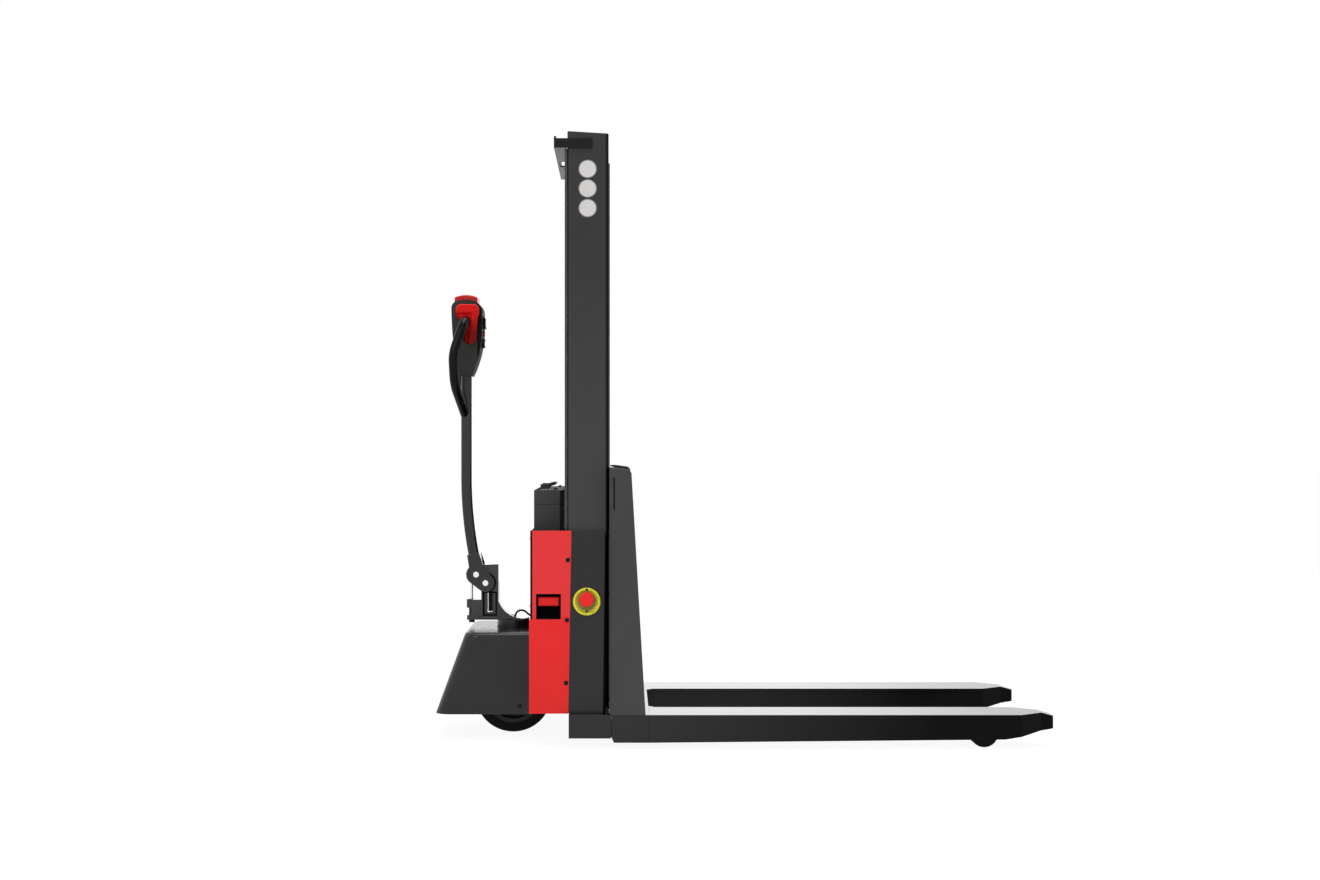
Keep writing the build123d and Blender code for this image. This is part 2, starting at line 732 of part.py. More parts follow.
def crosshead():
    """Block on the rod, with the shaft that carries both sheaves."""
    half = CROSSHEAD_WIDTH / 2
    head = block(
        mast_x - CROSSHEAD_DEPTH / 2, mast_x + CROSSHEAD_DEPTH / 2,
        -half, half,
        crosshead_z, crosshead_z + CROSSHEAD_HEIGHT,
    )
    shaft_half = SHEAVE_CENTRE_Y + SHEAVE_WIDTH / 2 + WORK_GAP
    return head + rod_y(mast_x, sheave_z, SHEAVE_SHAFT_R, -shaft_half, shaft_half)


def chain_sheave():
    """Grooved wheel under one chain."""
    near_y = -(SHEAVE_CENTRE_Y + SHEAVE_WIDTH / 2)
    far_y = -(SHEAVE_CENTRE_Y - SHEAVE_WIDTH / 2)
    wheel = rod_y(mast_x, sheave_z, SHEAVE_ROOT_R, near_y, far_y)
    wheel += rod_y(mast_x, sheave_z, SHEAVE_R, near_y, near_y + SHEAVE_FLANGE)
    wheel += rod_y(mast_x, sheave_z, SHEAVE_R, far_y - SHEAVE_FLANGE, far_y)
    return wheel - rod_y(mast_x, sheave_z, SHEAVE_SHAFT_R + RUN_FIT, near_y, far_y)


def chain_front():
    """Chain over the sheave and down to the carriage."""
    inner_r = SHEAVE_ROOT_R + PASS_GAP
    outer_r = inner_r + CHAIN_THICK
    near_y = -(SHEAVE_CENTRE_Y + CHAIN_WIDTH / 2)
    far_y = -(SHEAVE_CENTRE_Y - CHAIN_WIDTH / 2)
    wrap = rod_y(mast_x, sheave_z, outer_r, near_y, far_y)
    wrap -= rod_y(mast_x, sheave_z, inner_r, near_y, far_y)
    wrap &= block(mast_x - outer_r, mast_x + outer_r, near_y, far_y, sheave_z, sheave_z + outer_r)
    run = block(
        mast_x + inner_r, mast_x + outer_r,
        near_y, far_y,
        LOWER_BAR_Z + CHAIN_LUG_HEIGHT, sheave_z,
    )
    return wrap + run


def chain_rear():
    """Chain from the sheave down to the anchor beam."""
    inner_r = SHEAVE_ROOT_R + PASS_GAP
    near_y = -(SHEAVE_CENTRE_Y + CHAIN_WIDTH / 2)
    return block(
        mast_x - inner_r - CHAIN_THICK, mast_x - inner_r,
        near_y, near_y + CHAIN_WIDTH,
        ANCHOR_BEAM_Z + ANCHOR_BEAM_HEIGHT, sheave_z,
    )


def side_plate():
    """Plate on the outside of the column, its front edge leaning slightly."""
    top_x = mast_front_x - SIDE_PLATE_SETBACK
    return slab_y(
        outline(
            (firewall_rear_x, FORK_TOP_Z),
            (top_x - SIDE_PLATE_LEAN, FORK_TOP_Z),
            (top_x, BODY_TOP_Z),
            (firewall_rear_x, BODY_TOP_Z),
        ),
        -side_plate_y, -mast_out_y,
    )


def estop_centre():
    """Place of the emergency stop's collar in side view."""
    return (mast_front_x - ESTOP_SETBACK, ESTOP_Z)


def side_plates():
    """Both side plates, the near one with the hole behind the emergency stop's button."""
    x, z = estop_centre()
    hole = rod_y(x, z + ESTOP_OFFSET, ESTOP_NECK_R + PASS_GAP, -side_plate_y, -mast_out_y)
    return group(side_plate() - hole, far_side(side_plate()))


def side_cover():
    """Sheet cover lapped over the side plate, with a step in its rear edge and a return behind it."""
    rear_x = panel_rear_x - COVER_SHEET
    front_x = firewall_rear_x + COVER_LAP
    sheet = slab_y(
        outline(
            (rear_x, COVER_BOTTOM_Z),
            (front_x - COVER_LEAN, COVER_BOTTOM_Z),
            (front_x, BODY_TOP_Z),
            (rear_x + COVER_STEP, BODY_TOP_Z),
            (rear_x + COVER_STEP, COVER_STEP_Z),
            (rear_x, COVER_STEP_Z),
        ),
        -cover_y, -side_plate_y,
    )
    return sheet + block(
        rear_x, panel_rear_x,
        -side_plate_y, -side_plate_y + COVER_RETURN,
        COVER_BOTTOM_Z, COVER_STEP_Z,
    )


def window_box(margin, inner_y):
    """Block as large as the window less a margin all round, from the cover's face inwards."""
    front_x = firewall_rear_x + COVER_LAP - WINDOW_SETBACK
    return block(
        front_x - WINDOW_LENGTH + margin, front_x - margin,
        -cover_y, inner_y,
        WINDOW_BOTTOM_Z + margin, WINDOW_BOTTOM_Z + WINDOW_HEIGHT - margin,
    )


def near_side_cover():
    """Near cover with the window for the plug."""
    return side_cover() - window_box(0, -side_plate_y)


def plug_recess():
    """Tray behind the window, open to the side."""
    back_y = -cover_y + RECESS_DEPTH
    tray = window_box(SEAT_FIT, back_y)
    return tray - window_box(RECESS_WALL, back_y - RECESS_WALL)


def pull_plug():
    """Battery plug in the recess: a rounded grip bar in front of a narrower body."""
    margin = RECESS_WALL + PLUG_SIDE_GAP
    front_x = firewall_rear_x + COVER_LAP - WINDOW_SETBACK - margin
    rear_x = front_x - WINDOW_LENGTH + 2 * margin
    top_z = WINDOW_BOTTOM_Z + WINDOW_HEIGHT - PLUG_DROP
    grip_y = -cover_y + PLUG_GRIP_DEPTH
    grip = block(rear_x, front_x, -side_plate_y, grip_y, top_z - PLUG_HEIGHT, top_z)
    grip = fillet(grip.edges().group_by(Axis.Y)[0], PLUG_HEIGHT / 4)
    body = block(
        rear_x + PLUG_BODY_INSET, front_x - PLUG_BODY_INSET,
        grip_y, -cover_y + RECESS_DEPTH - RECESS_WALL - PASS_GAP,
        top_z - PLUG_HEIGHT + PLUG_BODY_INSET, top_z - PLUG_BODY_INSET,
    )
    return grip + body


def body_panels():
    """Firewall behind the mast, and the rear panel in three pieces round the drive bay."""
    half = mast_out_y
    panel_half = side_plate_y - COVER_SHEET
    bay = DRIVE_BAY_HALF + FLOOR_PLATE
    firewall = block(firewall_rear_x, firewall_front_x, -half, half, FORK_TOP_Z, BODY_TOP_Z)
    upper = block(panel_rear_x, panel_front_x, -panel_half, panel_half, SHELF_Z, BODY_TOP_Z)
    lower = block(panel_rear_x, panel_front_x, -panel_half, -bay, FORK_TOP_Z, SHELF_Z)
    return group(firewall, upper, lower, far_side(lower))


def equipment_shelves():
    """Battery shelf and the two floor plates beside the drive bay."""
    half = mast_out_y
    shelf = block(panel_front_x, firewall_rear_x, -half, half, SHELF_Z, SHELF_Z + SHELF_PLATE)
    floor = block(
        panel_front_x, firewall_rear_x,
        -half, -DRIVE_BAY_HALF,
        FORK_TOP_Z, FORK_TOP_Z + FLOOR_PLATE,
    )
    return group(shelf, floor, far_side(floor))


def power_unit():
    """Hydraulic tank with the pump motor standing on it."""
    floor_z = FORK_TOP_Z + FLOOR_PLATE
    tank_z = floor_z + POWER_UNIT_HEIGHT
    tank = block(
        panel_front_x + UNIT_MARGIN, firewall_rear_x - UNIT_MARGIN,
        -mast_out_y + UNIT_MARGIN, -DRIVE_BAY_HALF - UNIT_MARGIN,
        floor_z, tank_z,
    )
    tank = fillet(tank.edges().filter_by(Axis.Z), UNIT_MARGIN)
    motor_x = (panel_front_x + firewall_rear_x) / 2
    motor_y = -(mast_out_y + DRIVE_BAY_HALF) / 2
    return tank + rod_z(motor_x, motor_y, PUMP_MOTOR_R, tank_z, tank_z + PUMP_MOTOR_HEIGHT)


def motor_controller():
    """Control unit with cooling fins on top."""
    floor_z = FORK_TOP_Z + FLOOR_PLATE
    top_z = floor_z + CONTROLLER_HEIGHT - CONTROLLER_FIN
    near_y = DRIVE_BAY_HALF + UNIT_MARGIN
    far_y = mast_out_y - UNIT_MARGIN
    rear_x = panel_front_x + UNIT_MARGIN
    front_x = firewall_rear_x - UNIT_MARGIN
    unit = block(rear_x, front_x, near_y, far_y, floor_z, top_z)
    pitch = (far_y - near_y) / CONTROLLER_FINS
    for fin in range(CONTROLLER_FINS):
        fin_y = near_y + fin * pitch
        unit += block(rear_x, front_x, fin_y, fin_y + pitch / 3, top_z, top_z + CONTROLLER_FIN)
    return unit


def estop_collar():
    """Yellow collar with a raised rim, notched at the lower front."""
    x, z = estop_centre()
    base_y = -side_plate_y
    collar = rod_y(x, z, ESTOP_COLLAR_R, base_y - ESTOP_COLLAR_RIM, base_y)
    collar -= rod_y(
        x, z, ESTOP_COLLAR_R - ESTOP_RIM_WALL,
        base_y - ESTOP_COLLAR_RIM, base_y - ESTOP_COLLAR_BASE,
    )
    rim = collar.edges().filter_by(GeomType.CIRCLE).group_by(Axis.Y)[0]
    collar = fillet(rim, ESTOP_RIM_ROUND)
    notch = Box(ESTOP_COLLAR_R, ESTOP_COLLAR_RIM - ESTOP_COLLAR_BASE, ESTOP_NOTCH)
    notch_y = base_y - (ESTOP_COLLAR_RIM + ESTOP_COLLAR_BASE) / 2
    collar -= Pos(x, notch_y, z) * Rot(0, 45, 0) * Pos(ESTOP_COLLAR_R, 0, 0) * notch
    bore_r = ESTOP_NECK_R + PASS_GAP
    return collar - rod_y(x, z + ESTOP_OFFSET, bore_r, base_y - ESTOP_COLLAR_BASE, base_y)


def estop_button():
    """Mushroom head on a neck that slides through the collar."""
    x, z = estop_centre()
    z += ESTOP_OFFSET
    face_y = -side_plate_y - ESTOP_COLLAR_BASE - ESTOP_BUTTON_GAP
    head = rod_y(x, z, ESTOP_BUTTON_R, face_y - ESTOP_BUTTON_THICK, face_y)
    head = fillet(head.edges().filter_by(GeomType.CIRCLE).group_by(Axis.Y)[0], ESTOP_BUTTON_ROUND)
    return head + rod_y(x, z, ESTOP_NECK_R, face_y, -side_plate_y - WORK_GAP)


def battery_rear_x():
    """Rear face of the battery."""
    return panel_front_x + BATTERY_REAR_GAP


def battery_handle_pivot():
    """Axis of the battery's carry handle in side view."""
    top_z = SHELF_Z + SHELF_PLATE + BATTERY_HEIGHT
    return (battery_rear_x() + LUG_LENGTH, top_z + LUG_HEIGHT / 2)


def battery_pack():
    """Case with a lid seam and two lugs for the carry handle."""
    rear_x = battery_rear_x()
    front_x = rear_x + BATTERY_DEPTH
    half = mast_out_y - BATTERY_SIDE_GAP
    low_z = SHELF_Z + SHELF_PLATE
    top_z = low_z + BATTERY_HEIGHT
    case = block(rear_x, front_x, -half, half, low_z, top_z)
    upright = case.edges().filter_by(Axis.Z)
    rim = case.faces().sort_by(Axis.Z)[-1].edges()
    case = fillet([*upright, *rim], BATTERY_ROUND)
    seam_z = top_z - BATTERY_LID
    core = block(
        rear_x + BATTERY_SEAM, front_x - BATTERY_SEAM,
        -half + BATTERY_SEAM, half - BATTERY_SEAM,
        seam_z, seam_z + BATTERY_SEAM,
    )
    case -= block(rear_x, front_x, -half, half, seam_z, seam_z + BATTERY_SEAM) - core
    pivot_px, pivot_pz = battery_handle_pivot()
    for side in (-1, 1):
        inner_y = side * (HANDLE_SPAN / 2 + WORK_GAP)
        outer_y = inner_y + side * LUG_WIDTH
        lug = block(
            pivot_px - LUG_LENGTH / 2, pivot_px + LUG_LENGTH / 2,
            inner_y, outer_y,
            top_z, top_z + LUG_HEIGHT,
        )
        case += lug - rod_y(pivot_px, pivot_pz, HANDLE_PIN_R + RUN_FIT, inner_y, (inner_y + outer_y) / 2)
    return case


def battery_handle():
    """Bail: two legs on pins in the lugs, and a round bar between them."""
    pivot_px, pivot_pz = battery_handle_pivot()
    tilt = math.radians(HANDLE_TILT)
    bar_x = pivot_px + HANDLE_REACH * math.cos(tilt)
    bar_z = pivot_pz + HANDLE_REACH * math.sin(tilt)
    half = HANDLE_SPAN / 2
    leg_in = half - 2 * HANDLE_PIN_R
    leg_face = link_face((pivot_px, pivot_pz), HANDLE_BAR_R, (bar_x, bar_z), HANDLE_BAR_R)
    bail = rod_y(bar_x, bar_z, HANDLE_BAR_R, -leg_in, leg_in)
    for side in (-1, 1):
        bail += slab_y(leg_face, min(side * leg_in, side * half), max(side * leg_in, side * half))
        pin_y = side * (half + WORK_GAP + LUG_WIDTH / 2 - PASS_GAP)
        bail += rod_y(pivot_px, pivot_pz, HANDLE_PIN_R, side * half, pin_y)
    return bail


def drive_mount():
    """Plate behind the firewall that carries the steering bearing, with a rib under each edge."""
    rear_x = steer_x - MOUNT_REAR
    half = DRIVE_BAY_HALF
    plate = block(rear_x, firewall_rear_x, -half, half, mount_z, mount_z + MOUNT_PLATE)
    plate -= rod_z(steer_x, 0, BEARING_BORE_R + WORK_GAP, mount_z, mount_z + MOUNT_PLATE)
    rib = block(
        panel_front_x, firewall_rear_x,
        -half, -half + MOUNT_RIB,
        mount_z - MOUNT_RIB_HEIGHT, mount_z,
    )
    return group(plate, rib, far_side(rib))


def bearing_ring():
    """Outer ring of the steering bearing."""
    top_z = bearing_z + BEARING_HEIGHT
    ring = rod_z(steer_x, 0, BEARING_R, bearing_z, top_z)
    return ring - rod_z(steer_x, 0, BEARING_BORE_R, bearing_z, top_z)


def turntable():
    """Inner ring of the steering bearing with the hollow neck that carries the tiller bracket."""
    top_z = bearing_z + BEARING_HEIGHT
    table = rod_z(steer_x, 0, BEARING_BORE_R - RUN_FIT, yoke_disc_z + YOKE_DISC, top_z)
    table += rod_z(steer_x, 0, TURNTABLE_R, top_z, TURNTABLE_TOP_Z)
    return table - rod_z(steer_x, 0, CABLE_HOLE_R, yoke_disc_z + YOKE_DISC, TURNTABLE_TOP_Z)


def drive_yoke():
    """Disc with two arms down to the wheel's axle, and the axle."""
    arm_in = DRIVE_WHEEL_WIDTH / 2 + YOKE_ARM_GAP
    arm_out = arm_in + YOKE_ARM
    yoke = rod_z(steer_x, 0, YOKE_DISC_R, yoke_disc_z, yoke_disc_z + YOKE_DISC)
    arm_face = outline(
        (steer_x - YOKE_ARM_HALF, DRIVE_WHEEL_R),
        (steer_x + YOKE_ARM_HALF, DRIVE_WHEEL_R),
        (steer_x + YOKE_ARM_HALF, yoke_disc_z),
        (steer_x - YOKE_ARM_HALF, yoke_disc_z),
    )
    arm_face += Pos(steer_x, DRIVE_WHEEL_R) * Circle(YOKE_ARM_HALF)
    for near_y in (-arm_out, arm_in):
        yoke += slab_y(arm_face, near_y, near_y + YOKE_ARM)
    return yoke + rod_y(steer_x, DRIVE_WHEEL_R, DRIVE_AXLE_R, -arm_out, arm_out)


def drive_motor():
    """Traction motor on one arm of the yoke and its brake on the other."""
    arm_out = DRIVE_WHEEL_WIDTH / 2 + YOKE_ARM_GAP + YOKE_ARM
    motor = rod_y(steer_x, DRIVE_WHEEL_R, MOTOR_R, arm_out, arm_out + MOTOR_LENGTH)
    motor = chamfer(motor.edges().filter_by(GeomType.CIRCLE).group_by(Axis.Y)[-1], ROLLER_CHAMFER)
    brake = rod_y(steer_x, DRIVE_WHEEL_R, BRAKE_R, -arm_out - BRAKE_LENGTH, -arm_out)
    return group(motor, brake)


def drive_tyre():
    """Polyurethane tread bonded on the hub."""
    half = DRIVE_WHEEL_WIDTH / 2
    tyre = rod_y(steer_x, DRIVE_WHEEL_R, DRIVE_WHEEL_R, -half, half)
    tyre = fillet(tyre.edges().filter_by(GeomType.CIRCLE), 2 * ROLLER_CHAMFER)
    return tyre - rod_y(steer_x, DRIVE_WHEEL_R, DRIVE_WHEEL_R - DRIVE_TYRE_THICK + SEAT_FIT, -half, half)


def drive_hub():
    """Cast hub: a rim, a web and a boss on the axle."""
    half = DRIVE_WHEEL_WIDTH / 2
    rim_r = DRIVE_WHEEL_R - DRIVE_TYRE_THICK
    hub = rod_y(steer_x, DRIVE_WHEEL_R, rim_r, -half, half)
    for side in (-1, 1):
        dish_y = side * DRIVE_HUB_WEB / 2
        dish = rod_y(steer_x, DRIVE_WHEEL_R, rim_r - YOKE_ARM, dish_y, side * half)
        hub -= dish - rod_y(steer_x, DRIVE_WHEEL_R, DRIVE_HUB_BOSS_R, dish_y, side * half)
    return hub - rod_y(steer_x, DRIVE_WHEEL_R, DRIVE_AXLE_R + RUN_FIT, -half, half)


def drive_cover_form(inset):
    """The drive cover's outside, or its inside when inset by the wall."""
    half = DRIVE_COVER_WIDTH / 2 - inset
    slope = DRIVE_COVER_SLOPE / (DRIVE_COVER_TOP_Z - DRIVE_COVER_BOTTOM_Z)
    low_x = cover_rear_x + inset * math.hypot(1, slope)
    top_z = DRIVE_COVER_TOP_Z - inset
    top_x = low_x + slope * (top_z - DRIVE_COVER_BOTTOM_Z)
    form = slab_y(
        outline(
            (low_x, DRIVE_COVER_BOTTOM_Z),
            (panel_rear_x, DRIVE_COVER_BOTTOM_Z),
            (panel_rear_x, top_z),
            (top_x, top_z),
        ),
        -half, half,
    )
    rear_face = form.faces().sort_by(Axis.X)[0]
    sloped = rear_face.edges().filter_by(Axis.Y, reverse=True)
    form = fillet(sloped, DRIVE_COVER_CORNER - inset)
    top_face = form.faces().sort_by(Axis.Z)[-1]
    front_edge = top_face.edges().sort_by(Axis.X)[-1]
    rim = [edge for edge in top_face.edges() if edge != front_edge]
    return fillet(rim, DRIVE_COVER_ROUND - inset)


def drive_cover():
    """Moulded shell over the drive, open below and towards the body, with a hole for the turntable."""
    shell = drive_cover_form(0) - drive_cover_form(DRIVE_COVER_WALL)
    under_z = DRIVE_COVER_TOP_Z - DRIVE_COVER_WALL
    shell -= rod_z(steer_x, 0, TURNTABLE_R + WORK_GAP, under_z, DRIVE_COVER_TOP_Z)
    return shell


def web_points():
    """Start, middle and end of the curve in the tiller bracket's web."""
    front_x = pivot_x + BRACKET_FRONT
    end_x = steer_x + WEB_TIP
    end_z = TURNTABLE_TOP_Z + WEB_END_HEIGHT
    start = (front_x, TURNTABLE_TOP_Z + WEB_HEIGHT)
    middle = (front_x + 0.22 * (end_x - front_x), end_z + 0.38 * (start[1] - end_z))
    return start, middle, (end_x, end_z)


def gas_rod_x():
    """Axis of the gas spring."""
    return pivot_x - GAS_PIN_BACK - GAS_ROD_BACK


def tiller_bracket():
    """Cast bracket: foot on the turntable, upright for the pivot, gas spring block, web in front."""
    foot_z = TURNTABLE_TOP_Z
    back_x = pivot_x - BRACKET_BACK
    front_x = pivot_x + BRACKET_FRONT
    tail_x = pivot_x - BRACKET_FOOT_TAIL
    start, middle, end = web_points()
    edge = Polyline(
        end,
        (end[0], foot_z),
        (tail_x, foot_z),
        (tail_x, foot_z + BRACKET_FOOT),
        (back_x, foot_z + BRACKET_FOOT),
        (back_x, BRACKET_TOP_Z - WORK_GAP),
        (front_x, BRACKET_TOP_Z),
        start,
    )
    face = make_face(edge + ThreePointArc(start, middle, end))
    body = slab_y(face, -BRACKET_HALF, BRACKET_HALF)
    body += rod_y(pivot_x, TILLER_PIVOT_Z, BRACKET_BOSS_R, -BRACKET_HALF, BRACKET_HALF)
    block_x = gas_rod_x() + BRACKET_BLOCK_SETBACK
    block_z = foot_z + BRACKET_BLOCK_HEIGHT
    body += block(block_x, back_x + POCKET_WALL, -BRACKET_HALF, BRACKET_HALF, foot_z, block_z)
    body += block(
        gas_rod_x() - BRACKET_LUG_BACK, back_x,
        -BRACKET_LUG_HALF, BRACKET_LUG_HALF,
        block_z - BRACKET_LUG_HEIGHT, block_z,
    )
    pocket_z = foot_z + BRACKET_FOOT
    for side in (-1, 1):
        body -= block(
            back_x + POCKET_WALL, front_x - POCKET_WALL,
            side * (BRACKET_HALF - POCKET_DEPTH), side * BRACKET_HALF,
            pocket_z, pocket_z + POCKET_HEIGHT,
        )
    slot_x = (back_x + front_x) / 2
    body -= block(
        slot_x - SLOT_WIDTH / 2, slot_x + SLOT_WIDTH / 2,
        -BRACKET_HALF, BRACKET_HALF,
        pocket_z + SLOT_SILL, pocket_z + SLOT_SILL + SLOT_HEIGHT,
    )
    eye_half = GAS_EYE_HALF + GAS_EYE_SIDE_GAP
    body -= block(
        pivot_x - BRACKET_BOSS_R, pivot_x - PIN_R,
        -eye_half, eye_half,
        TILLER_PIVOT_Z - 2 * BRACKET_BOSS_R, BRACKET_TOP_Z,
    )
    body -= rod_y(pivot_x, TILLER_PIVOT_Z, PIN_R + RUN_FIT, -BRACKET_HALF, BRACKET_HALF)
    body -= rod_z(steer_x, 0, CABLE_HOLE_R, foot_z, foot_z + WEB_HEIGHT)
    nose = block(steer_x, end[0], -BRACKET_HALF, BRACKET_HALF, foot_z, foot_z + WEB_HEIGHT)
    body -= nose - rod_z(steer_x, 0, WEB_TIP, foot_z, foot_z + WEB_HEIGHT)
    return body - rod_z(gas_rod_x(), 0, GAS_BODY_R + SEAT_FIT, foot_z, block_z)


def gas_spring_body():
    """Cylinder of the gas spring, held in the bracket's foot."""
    low_z = TURNTABLE_TOP_Z - GAS_BODY_BELOW
    body = rod_z(gas_rod_x(), 0, GAS_BODY_R, low_z, GAS_BODY_TOP_Z)
    return body - rod_z(gas_rod_x(), 0, GAS_ROD_R + RUN_FIT, low_z + GAS_END_WALL, GAS_BODY_TOP_Z)


def gas_pin_place():
    """Axis of the pin that the gas spring holds, in side view."""
    return (pivot_x - GAS_PIN_BACK, TILLER_PIVOT_Z + GAS_PIN_UP)


def gas_spring_rod():
    """Rod with a slotted eye round the tiller's upper pin."""
    pin_x, pin_z = gas_pin_place()
    hole_r = PIN_R + GAS_EYE_GAP
    far_x = pin_x - GAS_EYE_SHIFT
    slot = link_face((pin_x, pin_z), hole_r, (far_x, pin_z), hole_r)
    eye_r = hole_r + GAS_EYE_WALL
    eye = link_face((pin_x, pin_z), eye_r, (far_x, pin_z), eye_r)
    rod = rod_z(gas_rod_x(), 0, GAS_ROD_R, GAS_BODY_TOP_Z - GAS_ROD_INSERT, pin_z)
    rod += slab_y(eye, -GAS_EYE_HALF, GAS_EYE_HALF)
    return rod - slab_y(slot, -GAS_EYE_HALF, GAS_EYE_HALF)


def tiller_pins():
    """Pivot pin and gas spring pin, both held in the cheeks."""
    half = BRACKET_HALF + WORK_GAP + CHEEK_PLATE + PIN_HEAD
    pin_x, pin_z = gas_pin_place()
    return group(
        rod_y(pivot_x, TILLER_PIVOT_Z, PIN_R, -half, half),
        rod_y(pin_x, pin_z, PIN_R, -half, half),
    )


def arm_x():
    """Middle of the arm where it is straight."""
    return pivot_x - ARM_FOOT_BACK - ARM_BEND


def tiller_arm():
    """Arm with a gentle bend above its foot, and the two cheeks that hold the pins."""
    foot_x = pivot_x - ARM_FOOT_BACK
    bend_z = ARM_FOOT_Z + ARM_BEND_HEIGHT
    radius = (ARM_BEND**2 + ARM_BEND_HEIGHT**2) / (2 * ARM_BEND)
    half_drop = ARM_BEND_HEIGHT / 2
    bow = radius - math.sqrt(radius**2 - half_drop**2)
    path = Line((arm_x(), 0, HEAD_BOTTOM_Z), (arm_x(), 0, bend_z))
    path += ThreePointArc(
        (arm_x(), 0, bend_z),
        (arm_x() + bow, 0, bend_z - half_drop),
        (foot_x, 0, ARM_FOOT_Z),
    )
    top = Pos(arm_x(), 0, HEAD_BOTTOM_Z)
    bore_depth = ARM_DEPTH - 2 * ARM_WALL
    bore_width = ARM_WIDTH - 2 * ARM_WALL
    arm = sweep(top * RectangleRounded(ARM_DEPTH, ARM_WIDTH, ARM_CORNER), path=path)
    arm -= sweep(top * RectangleRounded(bore_depth, bore_width, ARM_CORNER - ARM_WALL), path=path)
    pin_x, pin_z = gas_pin_place()
    lobes = link_face((pin_x, pin_z), CHEEK_UPPER_R, (pivot_x, TILLER_PIVOT_Z), CHEEK_LOWER_R)
    lean = 2 * math.atan(ARM_BEND / ARM_BEND_HEIGHT)
    foot_half = ARM_DEPTH / 2 + ARM_FOOT_MARGIN
    collar_middle = (ARM_FOOT_HEIGHT - ARM_FOOT_BELOW) / 2
    collar = Pos(0, collar_middle) * Rectangle(2 * foot_half, ARM_FOOT_HEIGHT + ARM_FOOT_BELOW)
    collar = Pos(foot_x, ARM_FOOT_Z) * Rot(0, 0, math.degrees(lean)) * collar
    top_x = foot_x - ARM_FOOT_HEIGHT * math.sin(lean)
    top_z = ARM_FOOT_Z + ARM_FOOT_HEIGHT * math.cos(lean)
    side_x = foot_half * math.cos(lean)
    side_z = foot_half * math.sin(lean)
    neck = outline(
        (pin_x - foot_half, pin_z),
        (pin_x + CHEEK_UPPER_R, pin_z),
        (top_x + side_x, top_z + side_z),
        (top_x - side_x, top_z - side_z),
    )
    cheek_in = BRACKET_HALF + WORK_GAP
    cheek_out = cheek_in + CHEEK_PLATE
    cheek = slab_y(lobes + neck, -cheek_out, -cheek_in)
    arm += slab_y(collar, -cheek_in, cheek_in)
    arm += cheek + far_side(cheek)
    for x, z in ((pivot_x, TILLER_PIVOT_Z), (pin_x, pin_z)):
        arm -= rod_y(x, z, PIN_R + SEAT_FIT, -cheek_out, cheek_out)
    return arm


def belly_face(margin, depth):
    """Side outline of the belly button, crowned on top, grown by a margin and sunk by a depth."""
    half = BELLY_LENGTH / 2 + margin
    side_z = head_top_z + BELLY_PROUD - BELLY_CROWN
    low_z = head_top_z + BELLY_PROUD - BELLY_CROWN - BELLY_SKIRT - depth
    left = (arm_x() - half, side_z)
    right = (arm_x() + half, side_z)
    crown = ThreePointArc(left, (arm_x(), head_top_z + BELLY_PROUD + margin), right)
    sides = Polyline(right, (right[0], low_z), (left[0], low_z), left)
    return make_face(crown + sides)


def head_form():
    """Tiller head: a domed side outline, tapered towards the arm in front view."""
    back_x = arm_x() - HEAD_BACK
    front_x = arm_x() + HEAD_FRONT
    shoulder_z = head_top_z - HEAD_SHOULDER_DROP
    neck_back = (arm_x() - HEAD_NECK_BACK, HEAD_BOTTOM_Z)
    neck_front = (arm_x() + HEAD_NECK_FRONT, HEAD_BOTTOM_Z)
    dome = ThreePointArc((back_x, shoulder_z), (arm_x(), head_top_z), (front_x, shoulder_z))
    front = Polyline((front_x, shoulder_z), (front_x, HEAD_BOTTOM_Z + HEAD_CHIN_HEIGHT))
    chin = ThreePointArc(
        (front_x, HEAD_BOTTOM_Z + HEAD_CHIN_HEIGHT),
        (front_x - HEAD_CHIN_BACK, HEAD_BOTTOM_Z + HEAD_CHIN_MIDDLE),
        neck_front,
    )
    back = ThreePointArc(
        neck_back,
        ((neck_back[0] + 3 * back_x) / 4, (HEAD_BOTTOM_Z + shoulder_z) / 2),
        (back_x, shoulder_z),
    )
    side = make_face(dome + front + chin + Line(neck_front, neck_back) + back)
    side = fillet(side.vertices().sort_by_distance((back_x, shoulder_z, 0))[0:1], HEAD_SHOULDER_ROUND)
    side = fillet(side.vertices().sort_by_distance((front_x, shoulder_z, 0))[0:1], HEAD_BROW_ROUND)
    face = outline(
        (-HEAD_HALF_BOTTOM, HEAD_BOTTOM_Z),
        (HEAD_HALF_BOTTOM, HEAD_BOTTOM_Z),
        (HEAD_HALF_TOP, HEAD_BOTTOM_Z + HEAD_HEIGHT / 2),
        (HEAD_HALF_TOP, head_top_z),
        (-HEAD_HALF_TOP, head_top_z),
        (-HEAD_HALF_TOP, HEAD_BOTTOM_Z + HEAD_HEIGHT / 2),
    )
    front_view = Pos(back_x, 0, 0) * extrude(Plane.YZ * face, front_x - back_x, dir=(1, 0, 0))
    return slab_y(side, -HEAD_HALF_TOP, HEAD_HALF_TOP) & front_view


def panel_x():
    """Plane where the control panel meets the housing."""
    return arm_x() + HEAD_FRONT - PANEL_THICK


def head_housing():
    """Moulded housing behind the control panel, with the pocket for the belly button."""
    keep = block(
        panel_x() - 2 * HEAD_BACK - 2 * HEAD_FRONT, panel_x(),
        -HEAD_HALF_TOP, HEAD_HALF_TOP,
        HEAD_BOTTOM_Z, head_top_z,
    )
    housing = head_form() & keep
    pocket_half = BELLY_HALF + PASS_GAP
    return housing - slab_y(belly_face(PASS_GAP, BELLY_TRAVEL + PASS_GAP), -pocket_half, pocket_half)


def button_back_x():
    """Floor of the button pockets in the control panel."""
    return arm_x() + HEAD_FRONT - BUTTON_DEPTH


